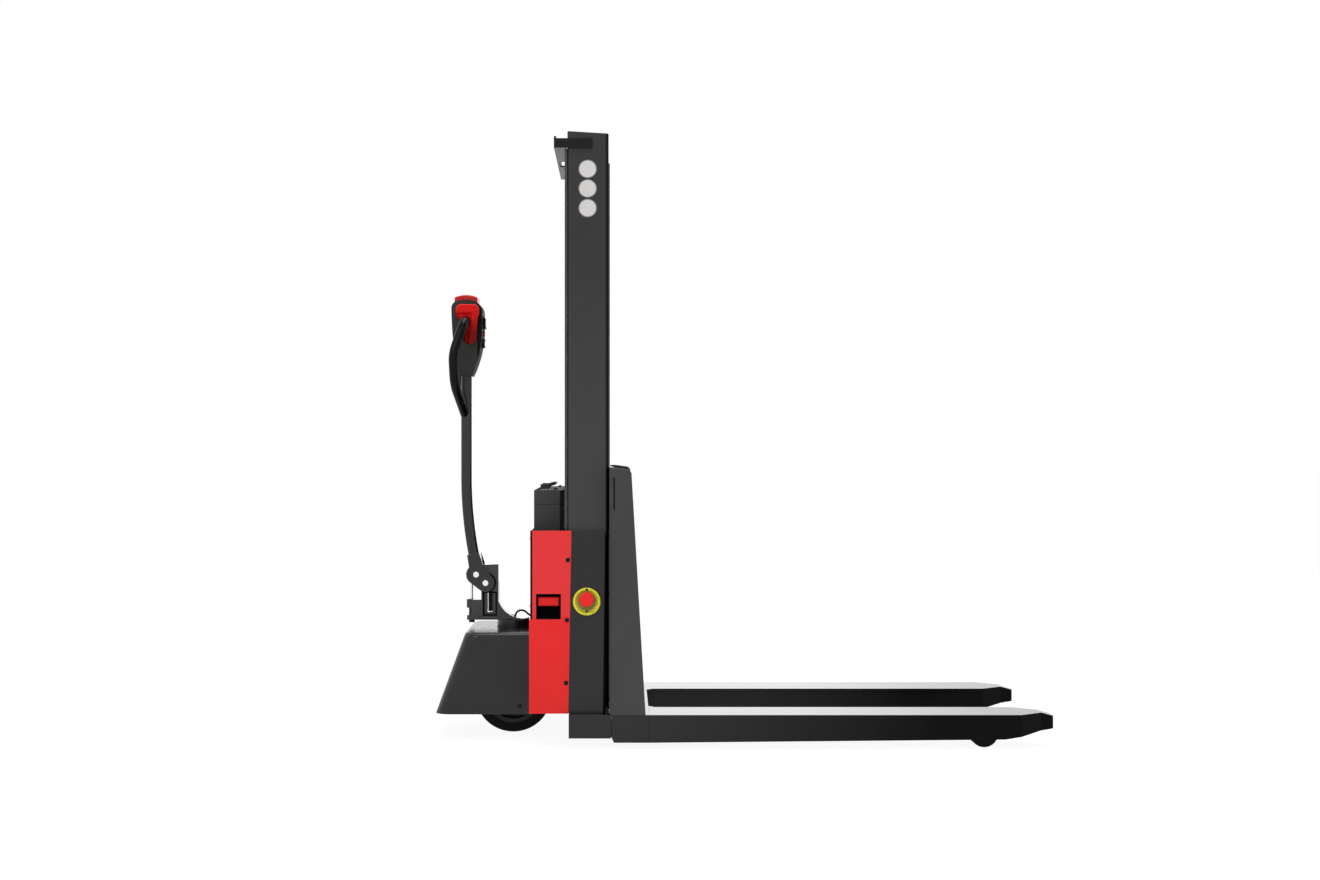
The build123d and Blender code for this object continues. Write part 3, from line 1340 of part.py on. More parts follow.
def control_panel():
    """Front of the head, with a raised display and pockets for the buttons."""
    front_x = arm_x() + HEAD_FRONT
    panel = head_form() & block(
        panel_x(), front_x,
        -HEAD_HALF_TOP, HEAD_HALF_TOP,
        HEAD_BOTTOM_Z, head_top_z,
    )
    pocket_half = BELLY_HALF + PASS_GAP
    panel -= slab_y(belly_face(PASS_GAP, BELLY_TRAVEL + PASS_GAP), -pocket_half, pocket_half)
    display_z = head_top_z - DISPLAY_DROP
    display = block(
        front_x, front_x + DISPLAY_PROUD,
        -DISPLAY_HALF, DISPLAY_HALF,
        display_z - DISPLAY_HEIGHT, display_z,
    )
    panel += chamfer(display.edges().group_by(Axis.X)[-1], DISPLAY_PROUD / 2)
    horn_z = head_top_z - HORN_DROP
    pocket_x = button_back_x() - BUTTON_TRAVEL - PASS_GAP
    panel -= Pos((pocket_x + front_x) / 2, 0, horn_z) * Rot(0, 90, 0) * Cylinder(
        HORN_R + PASS_GAP, front_x - pocket_x
    )
    rocker_z = head_top_z - ROCKER_DROP
    half = ROCKER_HALF + PASS_GAP
    half_height = ROCKER_HEIGHT / 2 + PASS_GAP
    panel -= block(pocket_x, front_x, -half, half, rocker_z - half_height, rocker_z + half_height)
    return panel


def horn_button():
    """Round push button."""
    back_x = button_back_x()
    length = BUTTON_DEPTH + BUTTON_PROUD
    centre = Pos(back_x + length / 2, 0, head_top_z - HORN_DROP)
    button = centre * Rot(0, 90, 0) * Cylinder(HORN_R, length)
    return fillet(button.edges().filter_by(GeomType.CIRCLE).group_by(Axis.X)[-1], BUTTON_PROUD / 3)


def rocker_axis_x():
    """Axis of the lift and lower rocker."""
    return arm_x() + HEAD_FRONT


def lift_rocker():
    """Rocker for lifting and lowering, with a shallow V across its face."""
    front_x = rocker_axis_x() + BUTTON_PROUD
    z = head_top_z - ROCKER_DROP
    half = ROCKER_HEIGHT / 2 - WORK_GAP
    face = outline(
        (rocker_axis_x(), z - half),
        (front_x, z - half),
        (front_x - BUTTON_PROUD / 2, z),
        (front_x, z + half),
        (rocker_axis_x(), z + half),
    )
    face += Pos(rocker_axis_x(), z) * Circle(ROCKER_PIN_R)
    return slab_y(face, -ROCKER_HALF, ROCKER_HALF)


def belly_button():
    """Large red safety button on top of the head."""
    button = slab_y(belly_face(0, 0), -BELLY_HALF, BELLY_HALF)
    crown = button.faces().filter_by(GeomType.CYLINDER)[0]
    return fillet(crown.edges(), BUTTON_PROUD)


def grip_root():
    """Where the bow handle leaves the head, which is also the axis of the thumb paddles."""
    return (arm_x() + GRIP_ROOT_X, head_top_z - GRIP_ROOT_DROP)


def bow_handle():
    """Round grip that leaves the side of the head, bows rearwards and comes back to the arm."""
    root_x, root_z = grip_root()
    route = [
        (root_x, -HEAD_HALF_TOP + GRIP_R, root_z),
        (root_x, -GRIP_SHOULDER_Y, root_z),
        (root_x - GRIP_BOW_BACK, -GRIP_BOW_Y, root_z - GRIP_BOW_DROP),
        (root_x - GRIP_LOW_BACK, -GRIP_LOW_Y, root_z - GRIP_LOW_DROP),
        (root_x - GRIP_ROOT_X, 0, root_z - GRIP_END_DROP),
    ]
    path = FilletPolyline(*route, radius=[GRIP_SHOULDER_R, GRIP_BOW_R, GRIP_LOW_R])
    section = Plane(origin=route[0], z_dir=(0, -1, 0)) * Circle(GRIP_R)
    return sweep(section, path=path)


def thumb_paddle():
    """Butterfly paddle that turns on the root of the bow handle."""
    root_x, root_z = grip_root()
    near_y = -(HEAD_HALF_TOP + PADDLE_GAP + PADDLE_THICK)
    wing = outline(
        (-PADDLE_WING_BACK, PADDLE_WING_LOW),
        (-PADDLE_WING_BACK, PADDLE_WING_TOP),
        (PADDLE_WING_FRONT, PADDLE_WING_TOP),
        (PADDLE_WING_FRONT, PADDLE_WING_LOW),
    )
    lobe = outline(
        (-PADDLE_LOBE_BACK, PADDLE_WING_TOP),
        (-PADDLE_LOBE_BACK, -PADDLE_LOBE_DROP),
        (PADDLE_LOBE_FRONT - PADDLE_TIP_SHIFT, -PADDLE_LOBE_DROP),
        (PADDLE_LOBE_FRONT, PADDLE_WING_TOP),
    )
    form = fillet(wing.vertices(), PADDLE_WING_ROUND)
    form += fillet(lobe.vertices(), PADDLE_LOBE_ROUND)
    form += Circle(PADDLE_HUB_R)
    paddle = slab_y(Pos(root_x, root_z) * form, near_y, near_y + PADDLE_THICK)
    rim = paddle.faces().sort_by(Axis.Y)[0].outer_wire().edges()
    paddle = fillet(rim, PADDLE_FACE_ROUND)
    return paddle - rod_y(root_x, root_z, GRIP_R + PASS_GAP, near_y, near_y + PADDLE_THICK)


def motor_cable():
    """Thin cable out of the hollow turntable, over in a low arch and into the rear panel."""
    crest_x = steer_x + CABLE_REACH
    arch_z = TURNTABLE_TOP_Z + CABLE_RISE
    crest_z = arch_z + CABLE_CREST
    route = [
        (steer_x, 0, TURNTABLE_TOP_Z - CABLE_START_DROP),
        (steer_x, 0, arch_z),
        (crest_x, 0, crest_z),
        (crest_x + CABLE_FALL, 0, crest_z - CABLE_FALL),
        (panel_rear_x, 0, crest_z - CABLE_FALL),
    ]
    corners = [Vector(*point) for point in route]
    radii = []
    for before, here, after in zip(corners, corners[1:], corners[2:]):
        turn = (here - before).get_angle(after - here)
        run = min((here - before).length, (after - here).length)
        radii.append(0.45 * run / math.tan(math.radians(turn) / 2))
    path = FilletPolyline(*route, radius=radii)
    section = Plane(origin=route[0], z_dir=(0, 0, 1)) * Circle(CABLE_R)
    cable = sweep(section, path=path)
    length = sum(edge.length for edge in path.edges())
    print("cable radii", [round(radius, 1) for radius in radii])
    print("cable length", round(length, 1), "section by length", round(math.pi * CABLE_R**2 * length, 1))
    print("cable volume", round(cable.volume, 1))
    return cable


# Chassis
save("base_frame", base_frame())
save("support_legs", both_sides(group(support_leg(), load_axle())))
save("mast_columns", both_sides(mast_column()))
save("mast_beams", mast_beams())
save("mast_strap", mast_strap())
save("mast_guard", mast_guard())
save("lift_cylinder", lift_cylinder())
save("side_plates", side_plates())
save("near_side_cover", near_side_cover())
save("far_side_cover", far_side(side_cover()))
save("plug_recess", plug_recess())
save("body_panels", body_panels())
save("equipment_shelves", equipment_shelves())
save("power_unit", power_unit())
save("motor_controller", motor_controller())
save("estop_collar", estop_collar())
save("drive_mount", drive_mount())
save("bearing_ring", bearing_ring())
save("drive_cover", drive_cover())
save("lift_chains_rear", both_sides(chain_rear()))
save("motor_cable", motor_cable())

# Carriage
save("near_fork", fork_blade())
save("far_fork", far_side(fork_blade()))
save("fork_heel", fork_heel())
save("carriage_gussets", both_sides(gusset()))
save("carriage_posts", both_sides(carriage_post()))
save("carriage_crossbars", carriage_crossbars())
save("roller_brackets", both_sides(roller_bracket()))
for name, height in zip(("lower", "upper"), roller_heights()):
    save(f"near_{name}_roller", carriage_roller(height))
    save(f"far_{name}_roller", far_side(carriage_roller(height)))

# Crosshead and wheels
save("piston_rod", piston_rod())
save("crosshead", crosshead())
save("lift_chains_front", both_sides(chain_front()))
save("near_sheave", chain_sheave())
save("far_sheave", far_side(chain_sheave()))
save("near_load_wheel", load_wheel())
save("far_load_wheel", far_side(load_wheel()))

# Drive and steering
save("drive_tyre", drive_tyre())
save("drive_hub", drive_hub())
save("drive_yoke", drive_yoke())
save("drive_motor", drive_motor())
save("turntable", turntable())
save("tiller_bracket", tiller_bracket())
save("gas_spring_body", gas_spring_body())
save("gas_spring_rod", gas_spring_rod())

# Tiller
arm = tiller_arm()
housing = head_housing()
handle = bow_handle() - arm - housing
save("tiller_arm", arm)
save("tiller_pins", tiller_pins())
save("head_housing", housing)
save("control_panel", control_panel())
save("bow_handles", both_sides(handle))
save("thumb_paddles", both_sides(thumb_paddle()))
save("belly_button", belly_button())
save("horn_button", horn_button())
save("lift_rocker", lift_rocker())

# Battery, plug and emergency stop
save("battery_pack", battery_pack())
save("battery_handle", battery_handle())
save("pull_plug", pull_plug())
save("estop_button", estop_button())
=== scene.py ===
import math
import bpy
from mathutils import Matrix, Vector


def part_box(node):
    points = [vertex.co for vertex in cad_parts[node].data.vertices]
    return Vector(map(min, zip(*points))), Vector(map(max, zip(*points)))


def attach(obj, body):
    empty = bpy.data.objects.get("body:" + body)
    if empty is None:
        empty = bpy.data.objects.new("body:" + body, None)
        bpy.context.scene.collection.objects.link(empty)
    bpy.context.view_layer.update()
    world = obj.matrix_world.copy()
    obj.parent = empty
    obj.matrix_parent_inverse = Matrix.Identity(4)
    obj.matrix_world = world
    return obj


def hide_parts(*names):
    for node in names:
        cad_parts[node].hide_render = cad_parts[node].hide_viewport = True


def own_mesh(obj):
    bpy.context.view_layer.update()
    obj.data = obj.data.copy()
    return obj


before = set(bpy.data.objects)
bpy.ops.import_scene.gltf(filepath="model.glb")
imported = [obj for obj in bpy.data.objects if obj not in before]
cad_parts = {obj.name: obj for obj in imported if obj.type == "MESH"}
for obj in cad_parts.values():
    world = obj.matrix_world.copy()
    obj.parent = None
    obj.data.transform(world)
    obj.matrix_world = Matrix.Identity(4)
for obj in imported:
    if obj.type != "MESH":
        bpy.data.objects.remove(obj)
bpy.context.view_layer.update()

# Studio: a pale seamless floor, a white surround and three large soft lamps. The camera stands
# level at the truck's side, as far off as the photograph's perspective shows.
scene = bpy.context.scene
scene.view_settings.view_transform = "Standard"


def nodes_of(owner):
    """Empty node tree of a material or world."""
    owner.use_nodes = True
    owner.node_tree.nodes.clear()
    return owner.node_tree.nodes, owner.node_tree.links


def put(links, value, socket):
    """Links a socket to another one, or sets it to a plain value."""
    if isinstance(value, bpy.types.NodeSocket):
        links.new(value, socket)
    else:
        socket.default_value = value


def sum_of(nodes, links, operation, first, second=0.0):
    """Two sizes worked out together; each is a socket or a number."""
    node = nodes.new("ShaderNodeMath")
    node.operation = operation
    put(links, first, node.inputs[0])
    put(links, second, node.inputs[1])
    return node.outputs[0]


def in_scene(name, data):
    """New object that shows in the scene."""
    thing = bpy.data.objects.new(name, data)
    scene.collection.objects.link(thing)
    return thing


def seen_ray(nodes, links):
    """1 for camera, glossy and transmission rays, 0 for those that light the truck."""
    path = nodes.new("ShaderNodeLightPath").outputs
    seen = sum_of(nodes, links, "MAXIMUM", path["Is Camera Ray"], path["Is Glossy Ray"])
    return sum_of(nodes, links, "MAXIMUM", seen, path["Is Transmission Ray"])


def mixed(nodes, links, amount, first, second, output):
    """Two shaders mixed by an amount and led to the output."""
    mix = nodes.new("ShaderNodeMixShader")
    links.new(amount, mix.inputs["Fac"])
    links.new(first.outputs[0], mix.inputs[1])
    links.new(second.outputs[0], mix.inputs[2])
    links.new(mix.outputs[0], nodes.new(output).inputs["Surface"])


world = bpy.data.worlds.new("white_surround")
scene.world = world
nodes, links = nodes_of(world)
lighting_strength, seen_strength = 0.55, 1.0
backgrounds = []
for strength in (lighting_strength, seen_strength):
    background = nodes.new("ShaderNodeBackground")
    background.inputs["Color"].default_value = (1, 1, 1, 1)
    background.inputs["Strength"].default_value = strength
    backgrounds.append(background)
mixed(nodes, links, seen_ray(nodes, links), *backgrounds, "ShaderNodeOutputWorld")

floor_reach, floor_glow, glow_share = 60, 1.08, 0.86
corner_ways = ((-1, -1), (1, -1), (1, 1), (-1, 1))
floor_corners = [(x * floor_reach, y * floor_reach, 0) for x, y in corner_ways]
floor_mesh = bpy.data.meshes.new("studio_floor")
floor_mesh.from_pydata(floor_corners, [], [(0, 1, 2, 3)])
floor = in_scene("studio_floor", floor_mesh)
floor_paint = bpy.data.materials.new("studio_floor_paint")
nodes, links = nodes_of(floor_paint)
matt = nodes.new("ShaderNodeBsdfDiffuse")
matt.inputs["Color"].default_value = (0.9, 0.9, 0.9, 1)
glow = nodes.new("ShaderNodeEmission")
glow.inputs["Strength"].default_value = floor_glow
seen_share = sum_of(nodes, links, "MULTIPLY", seen_ray(nodes, links), glow_share)
mixed(nodes, links, seen_share, matt, glow, "ShaderNodeOutputMaterial")
floor_mesh.materials.append(floor_paint)


def soft_lamp(name, place, target, width, height, watts):
    """Area lamp aimed at a point."""
    lamp = bpy.data.lights.new(name, "AREA")
    lamp.shape = "RECTANGLE"
    lamp.size = width
    lamp.size_y = height
    lamp.energy = watts
    holder = in_scene(name, lamp)
    holder.location = place
    holder.rotation_euler = (Vector(target) - Vector(place)).to_track_quat("-Z", "Y").to_euler()


soft_lamp("overhead_lamp", (0.2, -0.3, 4.6), (0.0, 0.0, 0.5), 3.4, 3.4, 150)
soft_lamp("side_lamp", (-2.6, -3.8, 2.4), (-0.3, 0.0, 0.7), 2.2, 2.2, 40)
soft_lamp("backdrop_lamp", (0.35, 5.0, 1.35), (0.35, 0.0, 1.2), 3.9, 2.6, 12.75)

picture_width, axis_right, axis_down = 1320, 39.6, 2
camera = bpy.data.cameras.new("side_camera")
camera.lens = 48.3
camera.sensor_width = 36
camera.shift_x = axis_right / picture_width
camera.shift_y = axis_down / picture_width
camera_holder = in_scene("side_camera", camera)
camera_holder.location = (-0.3459, -5.323, 0.865)
camera_holder.rotation_euler = (math.radians(90), 0, 0)
scene.camera = camera_holder

# Base box and support legs: folded steel plate, welded, shot-blasted and powder-coated glossy
# black. The coat is faintly cloudy, has a fine orange peel and is rubbed thin along the edges.


def dress(material, *node_names):
    """Gives CAD nodes a finish."""
    for name in node_names:
        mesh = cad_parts[name].data
        mesh.materials.clear()
        mesh.materials.append(material)


def surface(name, roughness, edge, plain):
    """Surface with softened edges; gives its material, nodes, links, shader and normal."""
    material = bpy.data.materials.new(name)
    nodes, links = nodes_of(material)
    shader = nodes.new("ShaderNodeBsdfPrincipled")
    for socket, value in {"Roughness": roughness, **plain}.items():
        shader.inputs[socket].default_value = value
    out = nodes.new("ShaderNodeOutputMaterial")
    links.new(shader.outputs[0], out.inputs["Surface"])
    bevel = nodes.new("ShaderNodeBevel")
    bevel.samples = 6
    bevel.inputs["Radius"].default_value = edge
    return material, nodes, links, shader, bevel.outputs["Normal"]


def place_of(nodes):
    """Place on the truck, the same at rest and in every pose."""
    return nodes.new("ShaderNodeTexCoord").outputs["Object"]


def ranged(nodes, links, value, low, high, at_low=0.0, at_high=1.0, ends="LINEAR"):
    """A socket's value between two marks turned into one between two others."""
    span = nodes.new("ShaderNodeMapRange")
    span.interpolation_type = ends
    links.new(value, span.inputs["Value"])
    marks = {"From Min": low, "From Max": high, "To Min": at_low, "To Max": at_high}
    for name, mark in marks.items():
        put(links, mark, span.inputs[name])
    return span.outputs[0]


def cloud_of(nodes, links, scale, detail=3.0, stretch=(1, 1, 1)):
    """Soft noise over the truck."""
    mapping = nodes.new("ShaderNodeMapping")
    mapping.inputs["Scale"].default_value = stretch
    noise = nodes.new("ShaderNodeTexNoise")
    noise.inputs["Scale"].default_value = scale
    noise.inputs["Detail"].default_value = detail
    links.new(place_of(nodes), mapping.inputs["Vector"])
    links.new(mapping.outputs[0], noise.inputs["Vector"])
    return noise.outputs["Fac"]


def mottle(nodes, links, scale, low, high, detail=3.0, stretch=(1, 1, 1)):
    """Cloudy mix of two colours."""
    ramp = nodes.new("ShaderNodeValToRGB")
    for element, position, colour in zip(ramp.color_ramp.elements, (0.3, 0.7), (low, high)):
        element.position = position
        element.color = (*colour, 1)
    links.new(cloud_of(nodes, links, scale, detail, stretch), ramp.inputs["Fac"])
    return ramp.outputs["Color"]


def roughen(nodes, links, shader, scale, low, high):
    """Roughness that drifts between two values."""
    drift = ranged(nodes, links, cloud_of(nodes, links, scale), 0.0, 1.0, low, high)
    links.new(drift, shader.inputs["Roughness"])


def ripple(nodes, links, shader, normal, scale, height, strength, stretch=(1, 1, 1)):
    """Fine relief on top of the softened edges."""
    bump = nodes.new("ShaderNodeBump")
    bump.inputs["Distance"].default_value = height
    bump.inputs["Strength"].default_value = strength
    links.new(cloud_of(nodes, links, scale, 2.0, stretch), bump.inputs["Height"])
    links.new(normal, bump.inputs["Normal"])
    links.new(bump.outputs[0], shader.inputs["Normal"])


def blended(nodes, links, amount, colour, other):
    """A colour that gives way to another as the amount falls; each is a socket or plain."""
    mix = nodes.new("ShaderNodeMix")
    mix.data_type = "RGBA"
    links.new(amount, mix.inputs[0])
    for socket, value in ((mix.inputs[6], other), (mix.inputs[7], colour)):
        put(links, (*value, 1) if isinstance(value, tuple) else value, socket)
    return mix.outputs[2]


def rubbed(nodes, links, colour, normal, worn):
    """Colour that wears to another one along the edges, in patches."""
    geometry = nodes.new("ShaderNodeNewGeometry")
    turn = nodes.new("ShaderNodeVectorMath")
    turn.operation = "DOT_PRODUCT"
    links.new(normal, turn.inputs[0])
    links.new(geometry.outputs["True Normal"], turn.inputs[1])
    flat_turn, edge_turn = 0.99, 0.82
    edge = ranged(nodes, links, turn.outputs["Value"], flat_turn, edge_turn)
    patches = mottle(nodes, links, 34.0, (0.1, 0.1, 0.1), (0.8, 0.8, 0.8))
    return blended(nodes, links, sum_of(nodes, links, "MULTIPLY", edge, patches), worn, colour)


def powder_coat(name, low, high, worn, edge, gloss, coat_gloss, smooth=0.18, dull=0.3):
    """Stoved coat: cloudy colour, fine orange peel, thin along the edges."""
    coat = {"Coat Weight": 1.0, "Coat IOR": coat_gloss, "Coat Roughness": 0.1} if coat_gloss else {}
    material, nodes, links, shader, normal = surface(name, 0.22, edge, {"IOR": gloss, **coat})
    colour = mottle(nodes, links, 5.0, low, high)
    links.new(rubbed(nodes, links, colour, normal, worn), shader.inputs["Base Color"])
    roughen(nodes, links, shader, 30.0, smooth, dull)
    ripple(nodes, links, shader, normal, 420.0, 0.0003, 0.05)
    return material


frame_black = powder_coat(
    "frame_black", (0.0088, 0.0089, 0.0096), (0.0138, 0.0139, 0.0146), (0.024, 0.024, 0.025),
    0.0025, 1.28, 1.25,
)
dress(frame_black, "base_frame", "support_legs")

# Load wheels: solid cast polyurethane rollers that turn on plain pins in the legs' ends, black and
# rubbed dull on the tread.


def moulded(name, low, high, roughness, grain, gloss=1.33, edge=0.0015, shine=0.5, relief=0.16):
    """Moulded plastic or rubber with a fine eroded grain."""
    plain = {"IOR": gloss, "Specular IOR Level": shine}
    material, nodes, links, shader, normal = surface(name, roughness, edge, plain)
    links.new(mottle(nodes, links, 9.0, low, high), shader.inputs["Base Color"])
    roughen(nodes, links, shader, 60.0, roughness - 0.05, roughness + 0.07)
    ripple(nodes, links, shader, normal, grain, 0.0002, relief)
    return material


wheel_tread = moulded(
    "wheel_tread", (0.005, 0.005, 0.0052), (0.010, 0.0099, 0.0097), 0.55, 700.0, 1.3, shine=0.2
)
dress(wheel_tread, "near_load_wheel", "far_load_wheel")

# Mast: two rolled channels with rounded backs, a top beam and a low beam between them, and a flat
# strap bolted round the top. A duller black coat than the frame's, painted lighter lower down, a
# painted falloff of light, and painted near black low down and along the front lips, a painted shade.


def band(nodes, links, axis, low, high, at_low=0.0, at_high=1.0):
    """Value that changes between two places along X, Y or Z of the truck."""
    axes = nodes.new("ShaderNodeSeparateXYZ")
    links.new(place_of(nodes), axes.inputs[0])
    return ranged(nodes, links, axes.outputs[axis], low, high, at_low, at_high)


mast_black, nodes, links, shader, normal = surface("mast_black", 0.54, 0.003, {"IOR": 1.38})
painted_light_full, painted_light_end = 0.85, 1.45
low_shade_full, painted_shade_end = 0.595, 0.612
mast_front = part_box("mast_columns")[1][0]
lip_back, lip_front = mast_front - 0.010, mast_front - 0.005
cloud = mottle(nodes, links, 5.0, (0.0155, 0.0156, 0.0162), (0.0205, 0.0206, 0.0212))
# Painted light: the columns are painted lighter lower down, a painted falloff of light.
above_painted_light = band(nodes, links, "Z", painted_light_full, painted_light_end)
lit_lower_colour = blended(nodes, links, above_painted_light, cloud, (0.0360, 0.0362, 0.0368))
# Painted shade: near black below the body's top and along the front lips, with less shine there.
above_low_shade = band(nodes, links, "Z", low_shade_full, painted_shade_end)
low_shaded_colour = blended(nodes, links, above_low_shade, lit_lower_colour, (0.002, 0.002, 0.002))
worn = rubbed(nodes, links, low_shaded_colour, normal, (0.03, 0.03, 0.031))
behind_lip = band(nodes, links, "X", lip_back, lip_front, 1.0, 0.0)
links.new(blended(nodes, links, behind_lip, worn, (0.001, 0.001, 0.001)), shader.inputs["Base Color"])
coat_shine = band(nodes, links, "Z", low_shade_full, painted_shade_end, 0.08, 0.5)
lip_shine = band(nodes, links, "X", lip_back, lip_front, 1.0, 0.3)
shine = sum_of(nodes, links, "MULTIPLY", coat_shine, lip_shine)
links.new(shine, shader.inputs["Specular IOR Level"])
roughen(nodes, links, shader, 30.0, 0.48, 0.6)
ripple(nodes, links, shader, normal, 420.0, 0.0003, 0.05)
dress(mast_black, "mast_columns")
dress(frame_black, "mast_beams")
strap_black = powder_coat(
    "strap_black", (0.004, 0.0041, 0.0044), (0.007, 0.0071, 0.0074), (0.016, 0.016, 0.0165),
    0.002, 1.25, None, 0.33, 0.42,
)
dress(strap_black, "mast_strap")

# Discs on the near column: three blank pale vinyl rounds with a narrow grey edge, stuck on the coat
# one above the other under the strap.


def tree_of(name, sizes, *finishes):
    """Empty geometry node tree with named sizes and finishes."""
    tree = bpy.data.node_groups.new(name, "GeometryNodeTree")
    tree.interface.new_socket("Seats", in_out="INPUT", socket_type="NodeSocketGeometry")
    for label in sizes:
        tree.interface.new_socket(label, in_out="INPUT", socket_type="NodeSocketFloat")
    for label in finishes:
        tree.interface.new_socket(label, in_out="INPUT", socket_type="NodeSocketMaterial")
    tree.interface.new_socket("Pieces", in_out="OUTPUT", socket_type="NodeSocketGeometry")
    given = tree.nodes.new("NodeGroupInput")
    out = tree.nodes.new("NodeGroupOutput")
    return tree, tree.nodes, tree.links, given.outputs, out.inputs["Pieces"]


def disc(nodes, links, sides, radius, height, top=None):
    """Round or many-sided block standing on its base, with a smaller top where one is given."""
    node = nodes.new("GeometryNodeMeshCone")
    node.inputs["Vertices"].default_value = sides
    links.new(radius, node.inputs["Radius Bottom"])
    links.new(radius if top is None else top, node.inputs["Radius Top"])
    links.new(height, node.inputs["Depth"])
    return node.outputs["Mesh"]


def joined(nodes, links, *shapes):
    """Several shapes as one."""
    node = nodes.new("GeometryNodeJoinGeometry")
    for shape in shapes:
        links.new(shape, node.inputs["Geometry"])
    return node.outputs["Geometry"]


def painted(nodes, links, shape, finish):
    """Shape in a finish."""
    node = nodes.new("GeometryNodeSetMaterial")
    links.new(shape, node.inputs["Geometry"])
    links.new(finish, node.inputs["Material"])
    return node.outputs["Geometry"]


def spread_on(nodes, links, points, shape, **settings):
    """A copy of a shape on every point."""
    node = nodes.new("GeometryNodeInstanceOnPoints")
    links.new(points, node.inputs["Points"])
    links.new(shape, node.inputs["Instance"])
    for name, value in settings.items():
        links.new(value, node.inputs[name])
    return node.outputs["Instances"]


def realised(nodes, links, copies):
    """Copies as one plain mesh."""
    node = nodes.new("GeometryNodeRealizeInstances")
    links.new(copies, node.inputs["Geometry"])
    return node.outputs["Geometry"]


def set_on_seats(nodes, links, seats, shape):
    """Shape on every seat, its height along the seat's direction, as one plain mesh."""
    facing = nodes.new("GeometryNodeInputNamedAttribute")
    facing.data_type = "FLOAT_VECTOR"
    facing.inputs["Name"].default_value = "facing"
    turn = nodes.new("FunctionNodeAlignRotationToVector")
    turn.axis = "Z"
    links.new(facing.outputs["Attribute"], turn.inputs["Vector"])
    return realised(nodes, links, spread_on(nodes, links, seats, shape, Rotation=turn.outputs[0]))


def seats_mesh(name, seats):
    """Points with the direction that each faces."""
    mesh = bpy.data.meshes.new(name)
    mesh.from_pydata([place for place, facing in seats], [], [])
    facing = mesh.attributes.new("facing", "FLOAT_VECTOR", "POINT")
    facing.data.foreach_set("vector", [part for place, way in seats for part in way])
    return mesh


def settled(piece):
    """Keeps what a piece's modifiers make as its own mesh."""
    result = bpy.data.meshes.new_from_object(piece.evaluated_get(bpy.context.evaluated_depsgraph_get()))
    result.name = piece.name
    piece.modifiers.clear()
    piece.data = result
    return result


def grown(name, mesh, tree, given, body):
    """Runs a tree over seats or lines and keeps the result as one plain mesh on a body."""
    piece = in_scene(name, mesh)
    modifier = piece.modifiers.new(name, "NODES")
    modifier.node_group = tree
    for socket in tree.interface.items_tree:
        if socket.in_out == "INPUT" and socket.name in given:
            modifier[socket.identifier] = given[socket.name]
    settled(piece)
    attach(piece, body)
    return piece


disc_tree, nodes, links, sizes, pieces = tree_of("edged_discs", ("Radius", "Edge", "Film"), "Face", "Rim")
face_radius = sum_of(nodes, links, "SUBTRACT", sizes["Radius"], sizes["Edge"])
face_film = sum_of(nodes, links, "MULTIPLY", sizes["Film"], 1.3)
rim_disc = disc(nodes, links, 48, sizes["Radius"], sizes["Film"])
face_disc = disc(nodes, links, 48, face_radius, face_film)
edged_disc = joined(
    nodes, links,
    painted(nodes, links, rim_disc, sizes["Rim"]), painted(nodes, links, face_disc, sizes["Face"]),
)
links.new(set_on_seats(nodes, links, sizes["Seats"], edged_disc), pieces)
disc_face = moulded("disc_film", (0.60, 0.585, 0.575), (0.68, 0.665, 0.655), 0.4, 300.0)
disc_rim = moulded("disc_edge_grey", (0.20, 0.19, 0.19), (0.26, 0.25, 0.25), 0.4, 300.0)
disc_x, column_face, disc_heights = -0.4388, -0.300, (1.6395, 1.584, 1.5285)
disc_seats = [((disc_x, column_face, z), (0, -1, 0)) for z in disc_heights]
grown(
    "mast_discs", seats_mesh("mast_discs", disc_seats), disc_tree,
    {"Radius": 0.0262, "Edge": 0.0026, "Film": 0.0004, "Face": disc_face, "Rim": disc_rim},
    "chassis",
)

# Lift cylinder, rod and crosshead: a honed barrel with a screwed gland, a hard-chromed rod and a
# forged block on top that carries the sheaves' shaft.


def bright_metal(name, low, high, roughness, scale, stretch=(1, 1, 1), edge=0.0008):
    """Turned, drawn or plated metal, with fine lines where it is stretched."""
    material, nodes, links, shader, normal = surface(name, roughness, edge, {"Metallic": 1.0})
    links.new(mottle(nodes, links, scale, low, high, 4.0, stretch), shader.inputs["Base Color"])
    roughen(nodes, links, shader, 80.0, roughness * 0.8, roughness * 1.3)
    ripple(nodes, links, shader, normal, scale, 0.0001, 0.12, stretch)
    return material


def along(nodes, links, x=0.0, y=0.0, z=0.0):
    """Vector of three sizes; each is a socket or a number."""
    node = nodes.new("ShaderNodeCombineXYZ")
    for socket, value in zip(node.inputs, (x, y, z)):
        put(links, value, socket)
    return node.outputs[0]


def moved(nodes, links, shape, place=None, turn=None):
    """Shape moved, or turned by fixed angles."""
    node = nodes.new("GeometryNodeTransform")
    links.new(shape, node.inputs["Geometry"])
    if place is not None:
        links.new(place, node.inputs["Translation"])
    if turn is not None:
        node.inputs["Rotation"].default_value = turn
    return node.outputs["Geometry"]


